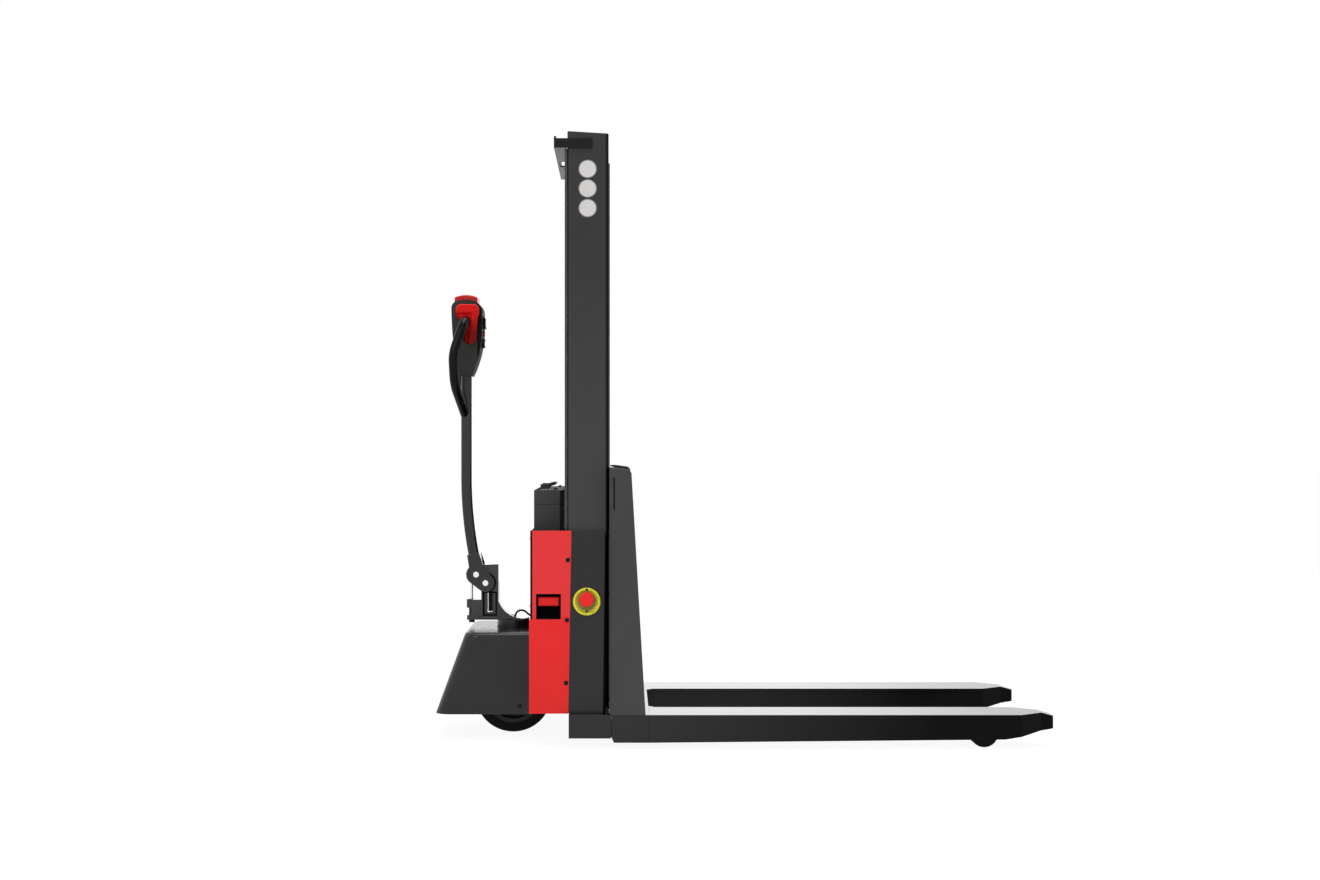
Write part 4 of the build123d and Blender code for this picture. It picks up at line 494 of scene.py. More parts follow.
dress(frame_black, "lift_cylinder", "crosshead")
hard_chrome = bright_metal(
    "hard_chrome", (0.70, 0.70, 0.71), (0.78, 0.78, 0.78), 0.12, 260.0, (1, 1, 0.05)
)
dress(hard_chrome, "piston_rod")
black_oxide = bright_metal("black_oxide", (0.012, 0.012, 0.013), (0.022, 0.022, 0.023), 0.35, 220.0)
screw_labels = ("Head Radius", "Head Height", "Socket Radius", "Washer Radius", "Washer Height")
screw_tree, nodes, links, sizes, pieces = tree_of("socket_screws", screw_labels, "Finish")
head_top = sum_of(nodes, links, "ADD", sizes["Washer Height"], sizes["Head Height"])
crown = sum_of(nodes, links, "MULTIPLY", sizes["Head Radius"], 0.8)
head = disc(nodes, links, 20, sizes["Head Radius"], head_top, crown)
key = disc(nodes, links, 6, sizes["Socket Radius"], sizes["Head Height"])
key_floor = sum_of(nodes, links, "MULTIPLY", sizes["Head Height"], 0.4)
key_seat = sum_of(nodes, links, "ADD", sizes["Washer Height"], key_floor)
bored = nodes.new("GeometryNodeMeshBoolean")
bored.operation = "DIFFERENCE"
links.new(head, bored.inputs["Mesh 1"])
links.new(moved(nodes, links, key, along(nodes, links, z=key_seat)), bored.inputs["Mesh 2"])
rim = sum_of(nodes, links, "MULTIPLY", sizes["Washer Radius"], 0.94)
washer = disc(nodes, links, 24, sizes["Washer Radius"], sizes["Washer Height"], rim)
screw = joined(nodes, links, bored.outputs["Mesh"], washer)
screw_copies = set_on_seats(nodes, links, sizes["Seats"], screw)
links.new(painted(nodes, links, screw_copies, sizes["Finish"]), pieces)
large_screw = dict(zip(screw_labels, (0.0075, 0.0042, 0.0038, 0.0098, 0.0014)))


def screws(name, seats, size, finish, body):
    """Screws of one size on their seats."""
    grown(name, seats_mesh(name, seats), screw_tree, {**size, "Finish": finish}, body)


crosshead_top = 0.975
crosshead_seats = [
    ((x, y, crosshead_top), (0, 0, 1)) for x in (-0.451, -0.425) for y in (-0.029, 0.029)
]
screws("crosshead_screws", crosshead_seats, large_screw, black_oxide, "crosshead")

# Sheaves and lift chains: turned steel wheels, and leaf chains of punched plates on riveted pins,
# dark with oil. Each chain runs from the anchor beam over its sheave and down to the carriage.
turned_steel = bright_metal(
    "turned_steel", (0.42, 0.42, 0.42), (0.56, 0.56, 0.55), 0.28, 500.0, (0.2, 3, 0.2)
)
oiled_steel = bright_metal("oiled_steel", (0.14, 0.135, 0.13), (0.26, 0.255, 0.25), 0.32, 320.0)
dress(turned_steel, "near_sheave", "far_sheave")


def stepped_line(nodes, links, lines, step):
    """Points at even steps along lines."""
    line = nodes.new("GeometryNodeMeshToCurve")
    steps = nodes.new("GeometryNodeResampleCurve")
    steps.mode = "LENGTH"
    links.new(lines, line.inputs["Mesh"])
    links.new(line.outputs["Curve"], steps.inputs["Curve"])
    links.new(step, steps.inputs["Length"])
    return steps.outputs["Curve"]


def line_turn(nodes, links, pivot):
    """Rotation that lays a shape's X along the line."""
    heading = nodes.new("GeometryNodeInputTangent")
    turn = nodes.new("FunctionNodeAlignRotationToVector")
    turn.axis = "X"
    turn.pivot_axis = pivot
    links.new(heading.outputs[0], turn.inputs["Vector"])
    return turn.outputs[0]


chain_tree, nodes, links, sizes, pieces = tree_of(
    "leaf_chain", ("Pitch", "Plate Height", "Plate Thickness", "Plate Spacing", "Pin Radius"), "Finish"
)
link_points = stepped_line(nodes, links, sizes["Seats"], sizes["Pitch"])
blank = nodes.new("GeometryNodeCurvePrimitiveQuadrilateral")
links.new(sum_of(nodes, links, "ADD", sizes["Pitch"], sizes["Plate Height"]), blank.inputs["Width"])
links.new(sizes["Plate Height"], blank.inputs["Height"])
ends = nodes.new("GeometryNodeFilletCurve")
ends.mode = "POLY"
ends.inputs["Count"].default_value = 4
links.new(blank.outputs["Curve"], ends.inputs["Curve"])
links.new(sum_of(nodes, links, "MULTIPLY", sizes["Plate Height"], 0.49), ends.inputs["Radius"])
punched = nodes.new("GeometryNodeFillCurve")
punched.mode = "NGONS"
links.new(ends.outputs["Curve"], punched.inputs["Curve"])
raised = nodes.new("GeometryNodeExtrudeMesh")
raised.inputs["Individual"].default_value = False
links.new(punched.outputs["Mesh"], raised.inputs["Mesh"])
links.new(sizes["Plate Thickness"], raised.inputs["Offset Scale"])
under = nodes.new("GeometryNodeFlipFaces")
links.new(punched.outputs["Mesh"], under.inputs["Mesh"])
closed = nodes.new("GeometryNodeMergeByDistance")
closed.inputs["Distance"].default_value = 0.00002
links.new(joined(nodes, links, raised.outputs["Mesh"], under.outputs["Mesh"]), closed.inputs["Geometry"])
half_plate = sum_of(nodes, links, "MULTIPLY", sizes["Plate Thickness"], -0.5)
flat_plate = moved(nodes, links, closed.outputs["Geometry"], along(nodes, links, z=half_plate))
plate = moved(nodes, links, flat_plate, turn=(math.pi / 2, 0, 0))


def plate_pack(count):
    """Plates of one link, side by side across the chain and centred on it."""
    row = nodes.new("GeometryNodeMeshLine")
    row.mode = "OFFSET"
    row.inputs["Count"].default_value = count
    start = sum_of(nodes, links, "MULTIPLY", sizes["Plate Spacing"], (1 - count) / 2)
    links.new(along(nodes, links, y=start), row.inputs["Start Location"])
    links.new(along(nodes, links, y=sizes["Plate Spacing"]), row.inputs["Offset"])
    return spread_on(nodes, links, row.outputs["Mesh"], plate)


wide_count, narrow_count = 5, 4
pack_width = sum_of(nodes, links, "MULTIPLY", sizes["Plate Spacing"], wide_count - 1.0)
pin = nodes.new("GeometryNodeMeshCylinder")
pin.inputs["Vertices"].default_value = 10
links.new(sizes["Pin Radius"], pin.inputs["Radius"])
links.new(sum_of(nodes, links, "ADD", pack_width, sizes["Plate Thickness"]), pin.inputs["Depth"])
cross_pin = moved(nodes, links, pin.outputs["Mesh"], turn=(math.pi / 2, 0, 0))
ahead = along(nodes, links, x=sum_of(nodes, links, "MULTIPLY", sizes["Pitch"], 0.5))
behind = along(nodes, links, x=sum_of(nodes, links, "MULTIPLY", sizes["Pitch"], -0.5))
pins = joined(nodes, links, *(moved(nodes, links, cross_pin, way) for way in (ahead, behind)))
wide_link = joined(nodes, links, plate_pack(wide_count), pins)
narrow_link = plate_pack(narrow_count)
link_turn = line_turn(nodes, links, "Y")
number = nodes.new("GeometryNodeInputIndex")
odd = sum_of(nodes, links, "MODULO", number.outputs[0], 2.0)
even = sum_of(nodes, links, "SUBTRACT", 1.0, odd)
runs = [
    spread_on(nodes, links, link_points, link, Selection=chosen, Rotation=link_turn)
    for link, chosen in ((wide_link, even), (narrow_link, odd))
]
whole_chain = realised(nodes, links, joined(nodes, links, *runs))
links.new(painted(nodes, links, whole_chain, sizes["Finish"]), pieces)


def lines_mesh(name, *lines):
    """Polylines as loose edges."""
    mesh = bpy.data.meshes.new(name)
    points = [point for line in lines for point in line]
    edges = []
    start = 0
    for line in lines:
        edges += [(start + step, start + step + 1) for step in range(len(line) - 1)]
        start += len(line)
    mesh.from_pydata(points, edges, [])
    return mesh


def chains(name, lines, size, body):
    """Chains of one size along lines."""
    return grown(name, lines_mesh(name, *lines), chain_tree, size, body)


chain_size = {
    "Pitch": 0.0127, "Plate Height": 0.0094, "Plate Thickness": 0.0024, "Plate Spacing": 0.0052,
    "Pin Radius": 0.0021, "Finish": oiled_steel,
}
lighter_chain = {**chain_size, "Plate Height": 0.0086, "Plate Thickness": 0.0022}
chain_sides = (-0.060, 0.060)
sheave_x, sheave_z, chain_radius, wrap_steps = -0.438, 0.9475, 0.0453, 24
front_x, front_end = sheave_x + chain_radius, 0.2525
rear_x, rear_end = sheave_x - chain_radius, 0.3625
front_lines = [[(front_x, y, front_end), (front_x, y, sheave_z)] for y in chain_sides]
front_chains = chains("front_chains", front_lines, chain_size, "crosshead")
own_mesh(front_chains)
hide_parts("lift_chains_front")
wrap_lines = [
    [
        (sheave_x + chain_radius * math.cos(angle), y, sheave_z + chain_radius * math.sin(angle))
        for angle in (math.pi * step / wrap_steps for step in range(wrap_steps + 1))
    ]
    for y in chain_sides
]
chains("chains_over_sheaves", wrap_lines, chain_size, "crosshead")
rear_lines = [[(rear_x, y, rear_end), (rear_x, y, sheave_z)] for y in chain_sides]
rear_chains = chains("rear_chains", rear_lines, chain_size, "chassis")
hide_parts("lift_chains_rear")
chains("rear_chains_taken_up", rear_lines, lighter_chain, "crosshead")

# Carriage and forks: flat bars and tapered side plates welded to a folded heel, and two folded fork
# blades. Fork tops are polished by pallets; their coat thins towards the noses, a painted falloff of the
# reflection, and their dull sides are painted grey at the heel and black at the noses, a painted falloff
# of light. A dark strip lies behind each side plate's slot, a painted shade, and a rubber stop pad at
# each foot of the mast.
carriage_black = powder_coat(
    "carriage_black", (0.021, 0.0213, 0.0225), (0.029, 0.0293, 0.0305), (0.042, 0.042, 0.043),
    0.0025, 1.33, 1.3,
)
dress(carriage_black, "carriage_gussets", "carriage_posts", "carriage_crossbars", "roller_brackets")
fork_plain = {"IOR": 1.25, "Coat IOR": 1.2, "Coat Roughness": 0.2}
fork_black, nodes, links, shader, normal = surface("fork_black", 0.16, 0.003, fork_plain)
cloud = mottle(nodes, links, 5.0, (0.004, 0.004, 0.0042), (0.0055, 0.0055, 0.0057))
heel_x, nose_x, shine_start, shine_end = -0.35, 0.55, 0.15, 0.75
# Painted falloff of light: the base colour is grey at the heel and black at the noses.
off_heel = band(nodes, links, "X", heel_x, nose_x)
light_painted_colour = blended(nodes, links, off_heel, cloud, (0.0385, 0.0387, 0.0395))
links.new(rubbed(nodes, links, light_painted_colour, normal, (0.02, 0.02, 0.02)), shader.inputs["Base Color"])
facing = nodes.new("ShaderNodeNewGeometry")
upward = nodes.new("ShaderNodeSeparateXYZ")
links.new(facing.outputs["True Normal"], upward.inputs[0])
sloped, level = 0.5, 0.9
# Painted falloff of the reflection: the coat on the tops thins towards the noses.
painted_reflection_falloff = band(nodes, links, "X", shine_start, shine_end, 1.0, 0.25)
for socket, side_gloss, top_gloss in (("Specular IOR Level", 0.06, 0.5), ("Coat Weight", 0.15, painted_reflection_falloff)):
    polished = ranged(nodes, links, upward.outputs["Z"], sloped, level, side_gloss, top_gloss)
    links.new(polished, shader.inputs[socket])
roughen(nodes, links, shader, 22.0, 0.08, 0.16)
ripple(nodes, links, shader, normal, 260.0, 0.0002, 0.02, (0.03, 1, 1))
dress(fork_black, "near_fork", "far_fork", "fork_heel")

weld_tree, nodes, links, sizes, pieces = tree_of("weld_seams", ("Bead Radius", "Bead Step"), "Finish")
bead_points = stepped_line(nodes, links, sizes["Seats"], sizes["Bead Step"])
drop = nodes.new("GeometryNodeMeshUVSphere")
drop.inputs["Segments"].default_value = 8
drop.inputs["Rings"].default_value = 5
links.new(sizes["Bead Radius"], drop.inputs["Radius"])
uneven = nodes.new("FunctionNodeRandomValue")
uneven.data_type = "FLOAT_VECTOR"
uneven.inputs[0].default_value = (0.9, 0.85, 0.85)
uneven.inputs[1].default_value = (1.1, 1.15, 1.15)
uneven.inputs["Seed"].default_value = 7
beads = spread_on(
    nodes, links, bead_points, drop.outputs["Mesh"],
    Rotation=line_turn(nodes, links, "AUTO"), Scale=uneven.outputs[0],
)
links.new(painted(nodes, links, realised(nodes, links, beads), sizes["Finish"]), pieces)
post_front, plate_inside, post_inside = -0.367, 0.3345, 0.2145
heel_top, heel_back, heel_front, heel_half = 0.097, -0.362, -0.279, 0.32
plate_span, bar_spans = (0.104, 0.770), ((0.206, 0.296), (0.700, 0.782))
seam_lines = []
for side in (-1, 1):
    plate_y, post_y = side * plate_inside, side * post_inside
    seam_lines.append([(post_front, plate_y, z) for z in plate_span])
    seam_lines.append([(x, plate_y, heel_top) for x in (heel_back, heel_front)])
    seam_lines += [[(post_front, post_y, z) for z in span] for span in bar_spans]
seam_lines.append([(post_front, y, heel_top) for y in (-heel_half, heel_half)])
grown(
    "carriage_welds", lines_mesh("carriage_welds", *seam_lines), weld_tree,
    {"Bead Radius": 0.0036, "Bead Step": 0.0044, "Finish": carriage_black}, "carriage",
)


def prism_faces(count):
    """Faces of a closed block between two outlines with as many corners."""
    walls = [(i, (i + 1) % count, count + (i + 1) % count, count + i) for i in range(count)]
    return [tuple(reversed(range(count))), tuple(range(count, 2 * count)), *walls]


def drawn_up(name, plan, low, high, softness, material, body):
    """Plan outline drawn up between two heights, with softened edges."""
    mesh = bpy.data.meshes.new(name)
    mesh.from_pydata([(x, y, z) for z in (low, high) for x, y in plan], [], prism_faces(len(plan)))
    mesh.materials.append(material)
    piece = in_scene(name, mesh)
    bevel = piece.modifiers.new("softened", "BEVEL")
    bevel.width = softness
    bevel.segments = 2
    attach(piece, body)


def on_side(plan, side):
    """Plan on one side of the truck, its outline running the same way round on both."""
    placed = [(x, side * y) for x, y in plan]
    return placed[::-1] if side > 0 else placed


strip_plan = [(-0.3665, 0.3344), (-0.3500, 0.3344), (-0.3500, 0.3324), (-0.3665, 0.3324)]
stop_plan = [(-0.3885, 0.3400), (-0.3775, 0.3400), (-0.3775, 0.3050), (-0.3885, 0.3050)]
strip_low, strip_high, stop_low, stop_high = 0.655, 0.772, 0.0971, 0.116
# The slot strips are dark sheets standing in for the shade inside the slots.
for label, side in (("near", -1), ("far", 1)):
    drawn_up(
        f"{label}_slot_strip", on_side(strip_plan, side), strip_low, strip_high, 0.0005,
        strap_black, "carriage",
    )
    drawn_up(
        f"{label}_stop_pad", on_side(stop_plan, side), stop_low, stop_high, 0.001,
        wheel_tread, "chassis",
    )

# Carriage rollers: hardened steel rings on stub axles that run inside the mast channels, bright on
# the tread and greased.
dress(turned_steel, "near_lower_roller", "far_lower_roller", "near_upper_roller", "far_upper_roller")

# Mast guard: a clear polycarbonate sheet behind the columns, with a grey extruded trim pushed on
# each upright edge and a row of black screws into the columns.
guard_plain = {"Base Color": (0.93, 0.96, 0.97, 1), "Transmission Weight": 0.97, "IOR": 1.2}
clear_guard, nodes, links, shader, normal = surface("clear_guard", 0.06, 0.0004, guard_plain)
roughen(nodes, links, shader, 18.0, 0.04, 0.1)
dress(clear_guard, "mast_guard")
guard_trim = moulded(
    "guard_trim", (0.060, 0.060, 0.061), (0.075, 0.075, 0.076), 0.55, 900.0, 1.3, shine=0.2
)
trim_plan = [
    (-0.5040, 0.2990), (-0.4970, 0.2990), (-0.4970, 0.2925), (-0.5002, 0.2925),
    (-0.5002, 0.2860), (-0.5030, 0.2850), (-0.5040, 0.2870),
]
trim_low, trim_high = 0.617, 1.697
for label, side in (("near", -1), ("far", 1)):
    drawn_up(
        f"{label}_guard_trim", on_side(trim_plan, side), trim_low, trim_high, 0.0005,
        guard_trim, "chassis",
    )
guard_back, guard_row, guard_heights = -0.500, 0.270, (0.68, 1.01, 1.34, 1.67)
guard_seats = [
    ((guard_back, side * guard_row, z), (-1, 0, 0)) for z in guard_heights for side in (-1, 1)
]
small_screw = dict(zip(screw_labels, (0.0052, 0.0022, 0.0026, 0.0066, 0.0008)))
screws("guard_screws", guard_seats, small_screw, black_oxide, "chassis")

# Body: firewall, rear panel, shelves and thick side plates, welded to the mast and coated black. The
# pump unit and the controller stand inside on the floor plates.
dress(frame_black, "side_plates", "body_panels", "equipment_shelves", "drive_mount")
panel_back, panel_holes = -0.6015, ((0.285, 0.59), (0.10, 0.59), (0.285, 0.40))
panel_seats = [((panel_back, side * y, z), (-1, 0, 0)) for y, z in panel_holes for side in (-1, 1)]
zinc_plate = bright_metal("zinc_plate", (0.52, 0.52, 0.51), (0.68, 0.68, 0.67), 0.3, 180.0)
screws("rear_panel_screws", panel_seats, small_screw, zinc_plate, "chassis")
unit_casting = moulded("unit_casting", (0.05, 0.05, 0.052), (0.08, 0.08, 0.083), 0.5, 500.0, 1.4)
dress(unit_casting, "power_unit", "motor_controller")

# Side covers: folded steel sheet stoved glossy red, lapped over the side plates and held by three
# small black screws along the front edge. The upper half is painted a little lighter and pinker, a
# painted sheen.
cover_red, nodes, links, shader, normal = surface("cover_red", 0.24, 0.002, {"IOR": 1.3})
cloud = mottle(nodes, links, 5.0, (0.77, 0.0165, 0.0165), (0.83, 0.0195, 0.0195))
# Painted sheen: above the window's foot the red is painted lighter and pinker.
sheen_start, sheen_full = 0.366, 0.378
lower_half = band(nodes, links, "Z", sheen_start, sheen_full, 1.0, 0.0)
light_painted_colour = blended(nodes, links, lower_half, cloud, (0.775, 0.032, 0.036))
links.new(rubbed(nodes, links, light_painted_colour, normal, (0.66, 0.07, 0.07)), shader.inputs["Base Color"])
roughen(nodes, links, shader, 30.0, 0.18, 0.3)
ripple(nodes, links, shader, normal, 420.0, 0.0003, 0.05)
dress(cover_red, "near_side_cover", "far_side_cover")
cover_face, cover_holes = 0.311, ((-0.4945, 0.531), (-0.4972, 0.361), (-0.5000, 0.183))
cover_seats = [((x, side * cover_face, z), (0, side, 0)) for x, z in cover_holes for side in (-1, 1)]
screws("cover_screws", cover_seats, small_screw, black_oxide, "chassis")

# Window and battery plug: a black moulded tray behind the near cover, with the red grip of the plug
# standing in it.
tray_black = moulded(
    "tray_black", (0.002, 0.002, 0.0022), (0.004, 0.004, 0.0042), 0.55, 900.0, 1.25, shine=0.1
)
dress(tray_black, "plug_recess")
plug_red = moulded("plug_red", (0.62, 0.010, 0.009), (0.70, 0.014, 0.012), 0.34, 1400.0, 1.3)
dress(plug_red, "pull_plug")

# Emergency stop: a yellow moulded collar screwed on the side plate, and a red mushroom button on a
# neck through it. The collar's dish round the button is painted dark olive, a painted shade.


def worked_out(nodes, links, start, *steps):
    """Vector taken through a row of vector sums; gives the last node."""
    for operation, value in steps:
        node = nodes.new("ShaderNodeVectorMath")
        node.operation = operation
        links.new(start, node.inputs[0])
        node.inputs[1].default_value = value
        start = node.outputs[0]
    return node


def off_axis(nodes, links, x, z):
    """Distance from an axis that runs across the truck."""
    flat = ("MULTIPLY", (1, 0, 1)), ("DISTANCE", (x, 0, z))
    return worked_out(nodes, links, place_of(nodes), *flat).outputs["Value"]


collar_yellow, nodes, links, shader, normal = surface("collar_yellow", 0.2, 0.002, {"IOR": 1.5})
collar_tone = mottle(nodes, links, 9.0, (0.64, 0.62, 0.010), (0.74, 0.72, 0.016))
collar_low, collar_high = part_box("estop_collar")
collar_radius = (collar_high[0] - collar_low[0]) / 2
from_axis = off_axis(nodes, links, collar_low[0] + collar_radius, collar_low[2] + collar_radius)
# Painted shade: the dish between button and rim is painted dark olive.
dish_radius, rim_radius = 0.58 * collar_radius, 0.86 * collar_radius
off_dish_shade = ranged(nodes, links, from_axis, dish_radius, rim_radius, ends="SMOOTHSTEP")
dish_shaded = blended(nodes, links, off_dish_shade, collar_tone, (0.17, 0.145, 0.004))
links.new(dish_shaded, shader.inputs["Base Color"])
roughen(nodes, links, shader, 60.0, 0.15, 0.27)
ripple(nodes, links, shader, normal, 1400.0, 0.0002, 0.05)
dress(collar_yellow, "estop_collar")
stop_red = moulded("stop_red", (0.78, 0.014, 0.010), (0.84, 0.018, 0.014), 0.3, 1400.0, 1.3, 0.003)
dress(stop_red, "estop_button")
collar_x, collar_holes = -0.441, ((-0.316, 0.3865), (-0.322, 0.4485))
tiny_screw = dict(zip(screw_labels, (0.0030, 0.0012, 0.0015, 0.0034, 0.0003)))
collar_seats = [((collar_x, y, z), (0, -1, 0)) for y, z in collar_holes]
screws("collar_screws", collar_seats, tiny_screw, black_oxide, "chassis")

# Battery: a moulded dark grey case with a screwed lid, near black down its front end, lifted out by
# a folding bail of coated steel rod.
case_plain = {"Specular IOR Level": 0.12}
case_black, nodes, links, shader, normal = surface("case_black", 0.55, 0.0015, case_plain)
cloud = mottle(nodes, links, 9.0, (0.045, 0.0453, 0.046), (0.053, 0.0533, 0.054))
# The case is coloured near black along its front 10 mm.
strip_end, case_start = -0.5195, -0.5205
behind_strip = band(nodes, links, "X", strip_end, case_start)
stripped = blended(nodes, links, behind_strip, cloud, (0.002, 0.002, 0.002))
links.new(stripped, shader.inputs["Base Color"])
roughen(nodes, links, shader, 60.0, 0.5, 0.62)
ripple(nodes, links, shader, normal, 900.0, 0.0002, 0.1)
dress(case_black, "battery_pack")
bail_black = powder_coat(
    "bail_black", (0.012, 0.012, 0.0125), (0.02, 0.02, 0.0205), (0.2, 0.2, 0.2), 0.0006, 1.3, None
)
dress(bail_black, "battery_handle")
lid_top = 0.727
lid_seats = [
    ((x, side * y, lid_top), (0, 0, 1))
    for x in (-0.583, -0.534) for y in (0.12, 0.215) for side in (-1, 1)
]
screws("lid_screws", lid_seats, small_screw, black_oxide, "battery")

# Drive unit: a turned slewing bearing, a cast yoke and hub, the traction motor on one arm and its
# brake on the other. The tyre is black polyurethane bonded on the hub.
dress(turned_steel, "bearing_ring")
iron_casting = moulded("iron_casting", (0.016, 0.016, 0.017), (0.026, 0.026, 0.027), 0.5, 420.0, 1.35)
dress(iron_casting, "drive_yoke", "drive_hub", "drive_motor")
dress(wheel_tread, "drive_tyre")
steer_x, hub_z, hub_face, hub_circle = -0.6655, 0.115, 0.012, 0.056
hub_seats = []
for degrees in range(0, 360, 60):
    screw_x = steer_x + hub_circle * math.cos(math.radians(degrees))
    screw_z = hub_z + hub_circle * math.sin(math.radians(degrees))
    hub_seats += [((screw_x, side * hub_face, screw_z), (0, side, 0)) for side in (-1, 1)]
screws("hub_screws", hub_seats, large_screw, zinc_plate, "drive_wheel")

# Drive cover: one thick moulded shell over the drive, its wide flat top and sloped back polished by
# handling. A dark screw holds each lower front corner.
cover_black = moulded(
    "cover_black", (0.010, 0.0102, 0.011), (0.015, 0.0152, 0.016), 0.2, 900.0, 1.38, relief=0.008
)
dress(cover_black, "drive_cover")
shell_x, shell_face, shell_z = -0.638, 0.187, 0.099
shell_seats = [((shell_x, side * shell_face, shell_z), (0, side, 0)) for side in (-1, 1)]
screws("drive_cover_screws", shell_seats, small_screw, black_oxide, "chassis")

# Turntable, tiller bracket and gas spring: black painted castings, turned together by the tiller. The
# bracket sits on the turntable's neck between cap screws. It is dusty, with painted shade round the
# pivot behind the arm's cheeks and a painted shade line along the edge of its pocket, and a rubber
# buffer is pressed in its window.
casting_black = powder_coat(
    "casting_black", (0.009, 0.0091, 0.0096), (0.015, 0.0151, 0.0156), (0.06, 0.06, 0.061),
    0.0018, 1.3, 1.2,
)
dress(casting_black, "turntable", "gas_spring_body")
bracket_black = powder_coat(
    "bracket_black", (0.040, 0.0401, 0.0408), (0.050, 0.0501, 0.0508), (0.09, 0.09, 0.091),
    0.0018, 1.3, 1.2,
)
nodes, links = bracket_black.node_tree.nodes, bracket_black.node_tree.links
shader = next(node for node in nodes if node.type == "BSDF_PRINCIPLED")
dusty_coat = shader.inputs["Base Color"].links[0].from_socket
# Painted shade: a dark line along the pocket's edge and a dark round behind the arm's cheeks, without
# coat or shine.
pocket_middle, pocket_half = (-0.7358, 0, 0.382), (0.0190, 1.0, 0.034)
pivot_x, pivot_z = -0.748, 0.4445
pocket_shade_half, pocket_shade_end, cheek_shade_radius, painted_shade_end = 0.0012, 0.0036, 0.0295, 0.0320
reach = worked_out(
    nodes, links, place_of(nodes),
    ("SUBTRACT", pocket_middle), ("ABSOLUTE", (0, 0, 0)), ("SUBTRACT", pocket_half),
)
axes = nodes.new("ShaderNodeSeparateXYZ")
links.new(reach.outputs[0], axes.inputs[0])
past_edge = sum_of(nodes, links, "MAXIMUM", axes.outputs["X"], axes.outputs["Z"])
from_edge = sum_of(nodes, links, "ABSOLUTE", past_edge)
off_pocket_shade = ranged(nodes, links, from_edge, pocket_shade_half, pocket_shade_end, ends="SMOOTHSTEP")
from_pivot = off_axis(nodes, links, pivot_x, pivot_z)
off_cheek_shade = ranged(nodes, links, from_pivot, cheek_shade_radius, painted_shade_end, ends="SMOOTHSTEP")
unshaded = sum_of(nodes, links, "MULTIPLY", off_pocket_shade, off_cheek_shade)
links.new(blended(nodes, links, unshaded, dusty_coat, (0.003, 0.003, 0.003)), shader.inputs["Base Color"])
links.new(unshaded, shader.inputs["Coat Weight"])
links.new(sum_of(nodes, links, "MULTIPLY", unshaded, 0.5), shader.inputs["Specular IOR Level"])
dress(bracket_black, "tiller_bracket")
buffer_plan = [(-0.7405, -0.024), (-0.7290, -0.024), (-0.7290, 0.024), (-0.7405, 0.024)]
buffer_low, buffer_high = 0.3590, 0.4139
drawn_up(
    "bracket_buffer", buffer_plan, buffer_low, buffer_high, 0.001,
    wheel_tread, "steering",
)
dress(hard_chrome, "gas_spring_rod")
table_top, table_row = 0.334, 0.0405
table_seats = [
    ((steer_x + x, side * table_row, table_top), (0, 0, 1)) for x in (-0.014, 0.014) for side in (-1, 1)
]
screws("turntable_screws", table_seats, small_screw, black_oxide, "steering")

# Motor cable: thin black sheathed cable that arches out of the hollow turntable into the rear panel.
# It is held only where it enters both, and the arch between them hangs free.
sheath = moulded("cable_sheath", (0.006, 0.006, 0.0065), (0.010, 0.010, 0.0105), 0.5, 2400.0, 1.3)
cable_route = [
    (-0.6655, 0, 0.310), (-0.6655, 0, 0.352), (-0.6381, 0, 0.3634),
    (-0.6151, 0, 0.3404), (-0.6015, 0, 0.3404),
]
cable_curve = bpy.data.curves.new("motor_cable_line", "CURVE")
cable_curve.dimensions = "3D"
spline = cable_curve.splines.new("NURBS")
spline.points.add(len(cable_route) - 1)
for point, place in zip(spline.points, cable_route):
    point.co = (*place, 1)
spline.order_u = 3
spline.use_endpoint_u = True
spline.resolution_u = 24
cable_curve.bevel_depth = 0.003
cable_curve.bevel_resolution = 4
cable_curve.materials.append(sheath)
cable = in_scene("motor_cable_line", cable_curve)
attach(cable, "chassis")
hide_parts("motor_cable")

# Tiller arm: bent rectangular steel tube with two cheek plates welded on and coated black, turning on
# bright headed pins through the bracket.
arm_black = powder_coat(
    "arm_black", (0.012, 0.0121, 0.0126), (0.018, 0.0181, 0.0186), (0.06, 0.06, 0.061),
    0.0018, 1.33, 1.25,
)
dress(arm_black, "tiller_arm")
pin_bright = bright_metal("pin_bright", (0.78, 0.78, 0.77), (0.88, 0.88, 0.87), 0.22, 300.0)
dress(pin_bright, "tiller_pins")

# Tiller head: a warm grey moulded housing with a black front panel and display, two bow handles of
# soft black rubber over steel tube, red thumb paddles, a red belly button on top and two buttons.
housing_grey = moulded(
    "housing_grey", (0.038, 0.038, 0.0365), (0.048, 0.048, 0.046), 0.6, 1400.0, 1.3, 0.003, 0.12
)
dress(housing_grey, "head_housing")
panel_black = moulded(
    "panel_black", (0.005, 0.005, 0.0052), (0.009, 0.009, 0.0092), 0.55, 1400.0, 1.3, shine=0.1
)
dress(panel_black, "control_panel", "lift_rocker")
grip_rubber = moulded("grip_rubber", (0.001, 0.001, 0.0011), (0.003, 0.003, 0.0031), 0.22, 1800.0, 1.22)
dress(grip_rubber, "bow_handles")
button_red = moulded("button_red", (0.46, 0.007, 0.005), (0.56, 0.010, 0.008), 0.26, 1400.0, 1.3, 0.003)
dress(button_red, "thumb_paddles", "horn_button")


def eased(value, low, high):
    """0 to 1 between two values, with soft ends."""
    share = min(max((value - low) / (high - low), 0.0), 1.0)
    return share * share * (3 - 2 * share)


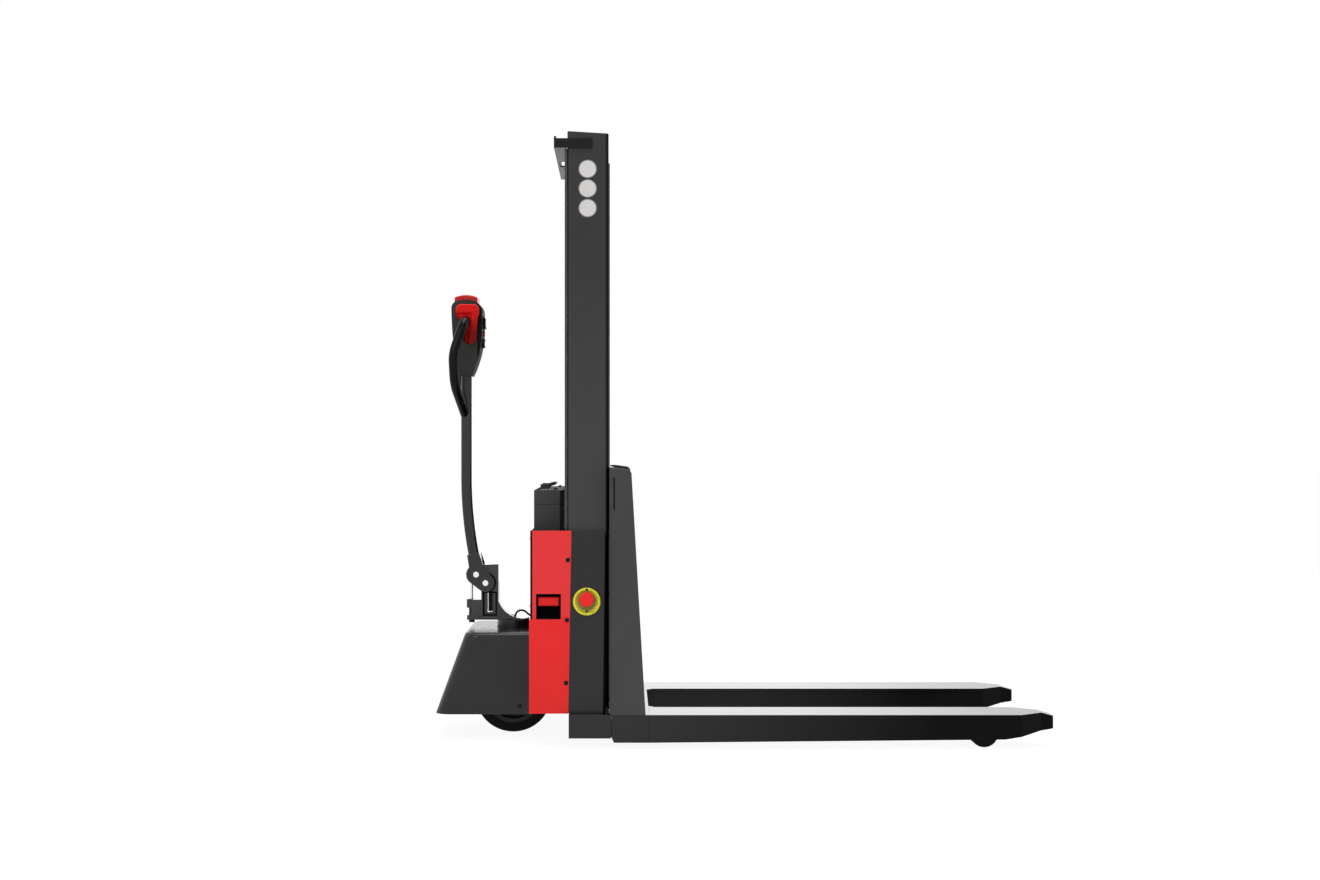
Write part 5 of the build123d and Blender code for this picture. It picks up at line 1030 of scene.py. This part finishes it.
paddle_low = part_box("thumb_paddles")[0]
root_x, root_z = paddle_low[0] + 0.030, paddle_low[2] + 0.068
ledge, finger_hollow, ridge_hollow = 0.024, 0.010, 0.003
ridge_start, ridge_end, ridge_lean = 0.009, 0.017, 0.09
soft_above, soft_below, edge_on, face_on = 0.004, 0.006, 0.1, 0.7
shade_low, shade_high = root_z - 0.034, root_z + ledge - 0.004
paddle_plain = {"IOR": 1.3, "Specular IOR Level": 0.2}
paddle_red, nodes, links, shader, normal = surface("paddle_red", 0.22, 0.002, paddle_plain)
brow_red = mottle(nodes, links, 9.0, (0.58, 0.007, 0.006), (0.66, 0.010, 0.009))
above_ledge = band(nodes, links, "Z", shade_low, shade_high)
shaded = blended(nodes, links, above_ledge, brow_red, (0.22, 0.003, 0.003))
links.new(shaded, shader.inputs["Base Color"])
roughen(nodes, links, shader, 60.0, 0.16, 0.26)
ripple(nodes, links, shader, normal, 1400.0, 0.0002, 0.04)
paddles = in_scene("moulded_thumb_paddles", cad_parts["thumb_paddles"].data.copy())
remesh = paddles.modifiers.new("even_skin", "REMESH")
remesh.mode = "VOXEL"
remesh.voxel_size = 0.0014
softened = paddles.modifiers.new("softened", "SMOOTH")
softened.factor = 0.5
softened.iterations = 6
paddle_mesh = settled(paddles)
paddle_mesh.materials.clear()
paddle_mesh.materials.append(paddle_red)
outward = [vertex.normal.y for vertex in paddle_mesh.vertices]
for vertex, facing in zip(paddle_mesh.vertices, outward):
    side = math.copysign(1.0, vertex.co.y)
    x, z = vertex.co.x - root_x, vertex.co.z - root_z
    ridge = eased(x, ridge_start + ridge_lean * z, ridge_end + ridge_lean * z)
    hollow = finger_hollow * (1 - ridge) + ridge_hollow * ridge
    below = eased(ledge - z, -soft_above, soft_below)
    vertex.co.y -= side * (hollow * below * eased(side * facing, edge_on, face_on))
for face in paddle_mesh.polygons:
    face.use_smooth = True
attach(paddles, "thumb_paddles")
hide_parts("thumb_paddles")
belly_red = moulded("belly_red", (0.52, 0.010, 0.012), (0.60, 0.014, 0.016), 0.26, 1400.0, 1.3, 0.003)
dress(belly_red, "belly_button")
display_glass, nodes, links, shader, normal = surface("display_glass", 0.08, 0.0003, {})
tint = mottle(nodes, links, 120.0, (0.006, 0.010, 0.012), (0.010, 0.015, 0.018))
links.new(tint, shader.inputs["Base Color"])
roughen(nodes, links, shader, 40.0, 0.05, 0.12)
half_wide, half_high, glass_corner, corner_steps = 0.021, 0.012, 0.003, 4
glass_back, glass_front, glass_z = -0.7496, -0.7489, 1.221
glass_plan = []
for start, right, up in ((0, 1, 1), (90, -1, 1), (180, -1, -1), (270, 1, -1)):
    for step in range(corner_steps + 1):
        angle = math.radians(start + 90 / corner_steps * step)
        glass_plan.append((
            right * (half_wide - glass_corner) + glass_corner * math.cos(angle),
            up * (half_high - glass_corner) + glass_corner * math.sin(angle),
        ))
glass_mesh = bpy.data.meshes.new("display_glass")
glass_points = [(x, y, glass_z + z) for x in (glass_back, glass_front) for y, z in glass_plan]
glass_mesh.from_pydata(glass_points, [], prism_faces(len(glass_plan)))
glass_mesh.materials.append(display_glass)
glass = in_scene("display_glass", glass_mesh)
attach(glass, "tiller")
lamp_tree, nodes, links, sizes, pieces = tree_of("panel_lamps", ("Radius", "Height"), "Lens")
lens_top = sum_of(nodes, links, "MULTIPLY", sizes["Radius"], 0.55)
lens = disc(nodes, links, 14, sizes["Radius"], sizes["Height"], lens_top)
lenses = set_on_seats(nodes, links, sizes["Seats"], lens)
links.new(painted(nodes, links, lenses, sizes["Lens"]), pieces)
lens_pale = moulded("lens_pale", (0.30, 0.32, 0.30), (0.40, 0.42, 0.40), 0.2, 900.0, 1.45, 0.0004)
lens_x, lens_z, lens_spacing = -0.7575, 1.249, 0.014
lens_seats = [((lens_x, step * lens_spacing, lens_z), (1, 0, 0)) for step in (-1, 0, 1)]
grown(
    "panel_lamps", seats_mesh("panel_lamps", lens_seats), lamp_tree,
    {"Radius": 0.0024, "Height": 0.0016, "Lens": lens_pale}, "tiller",
)
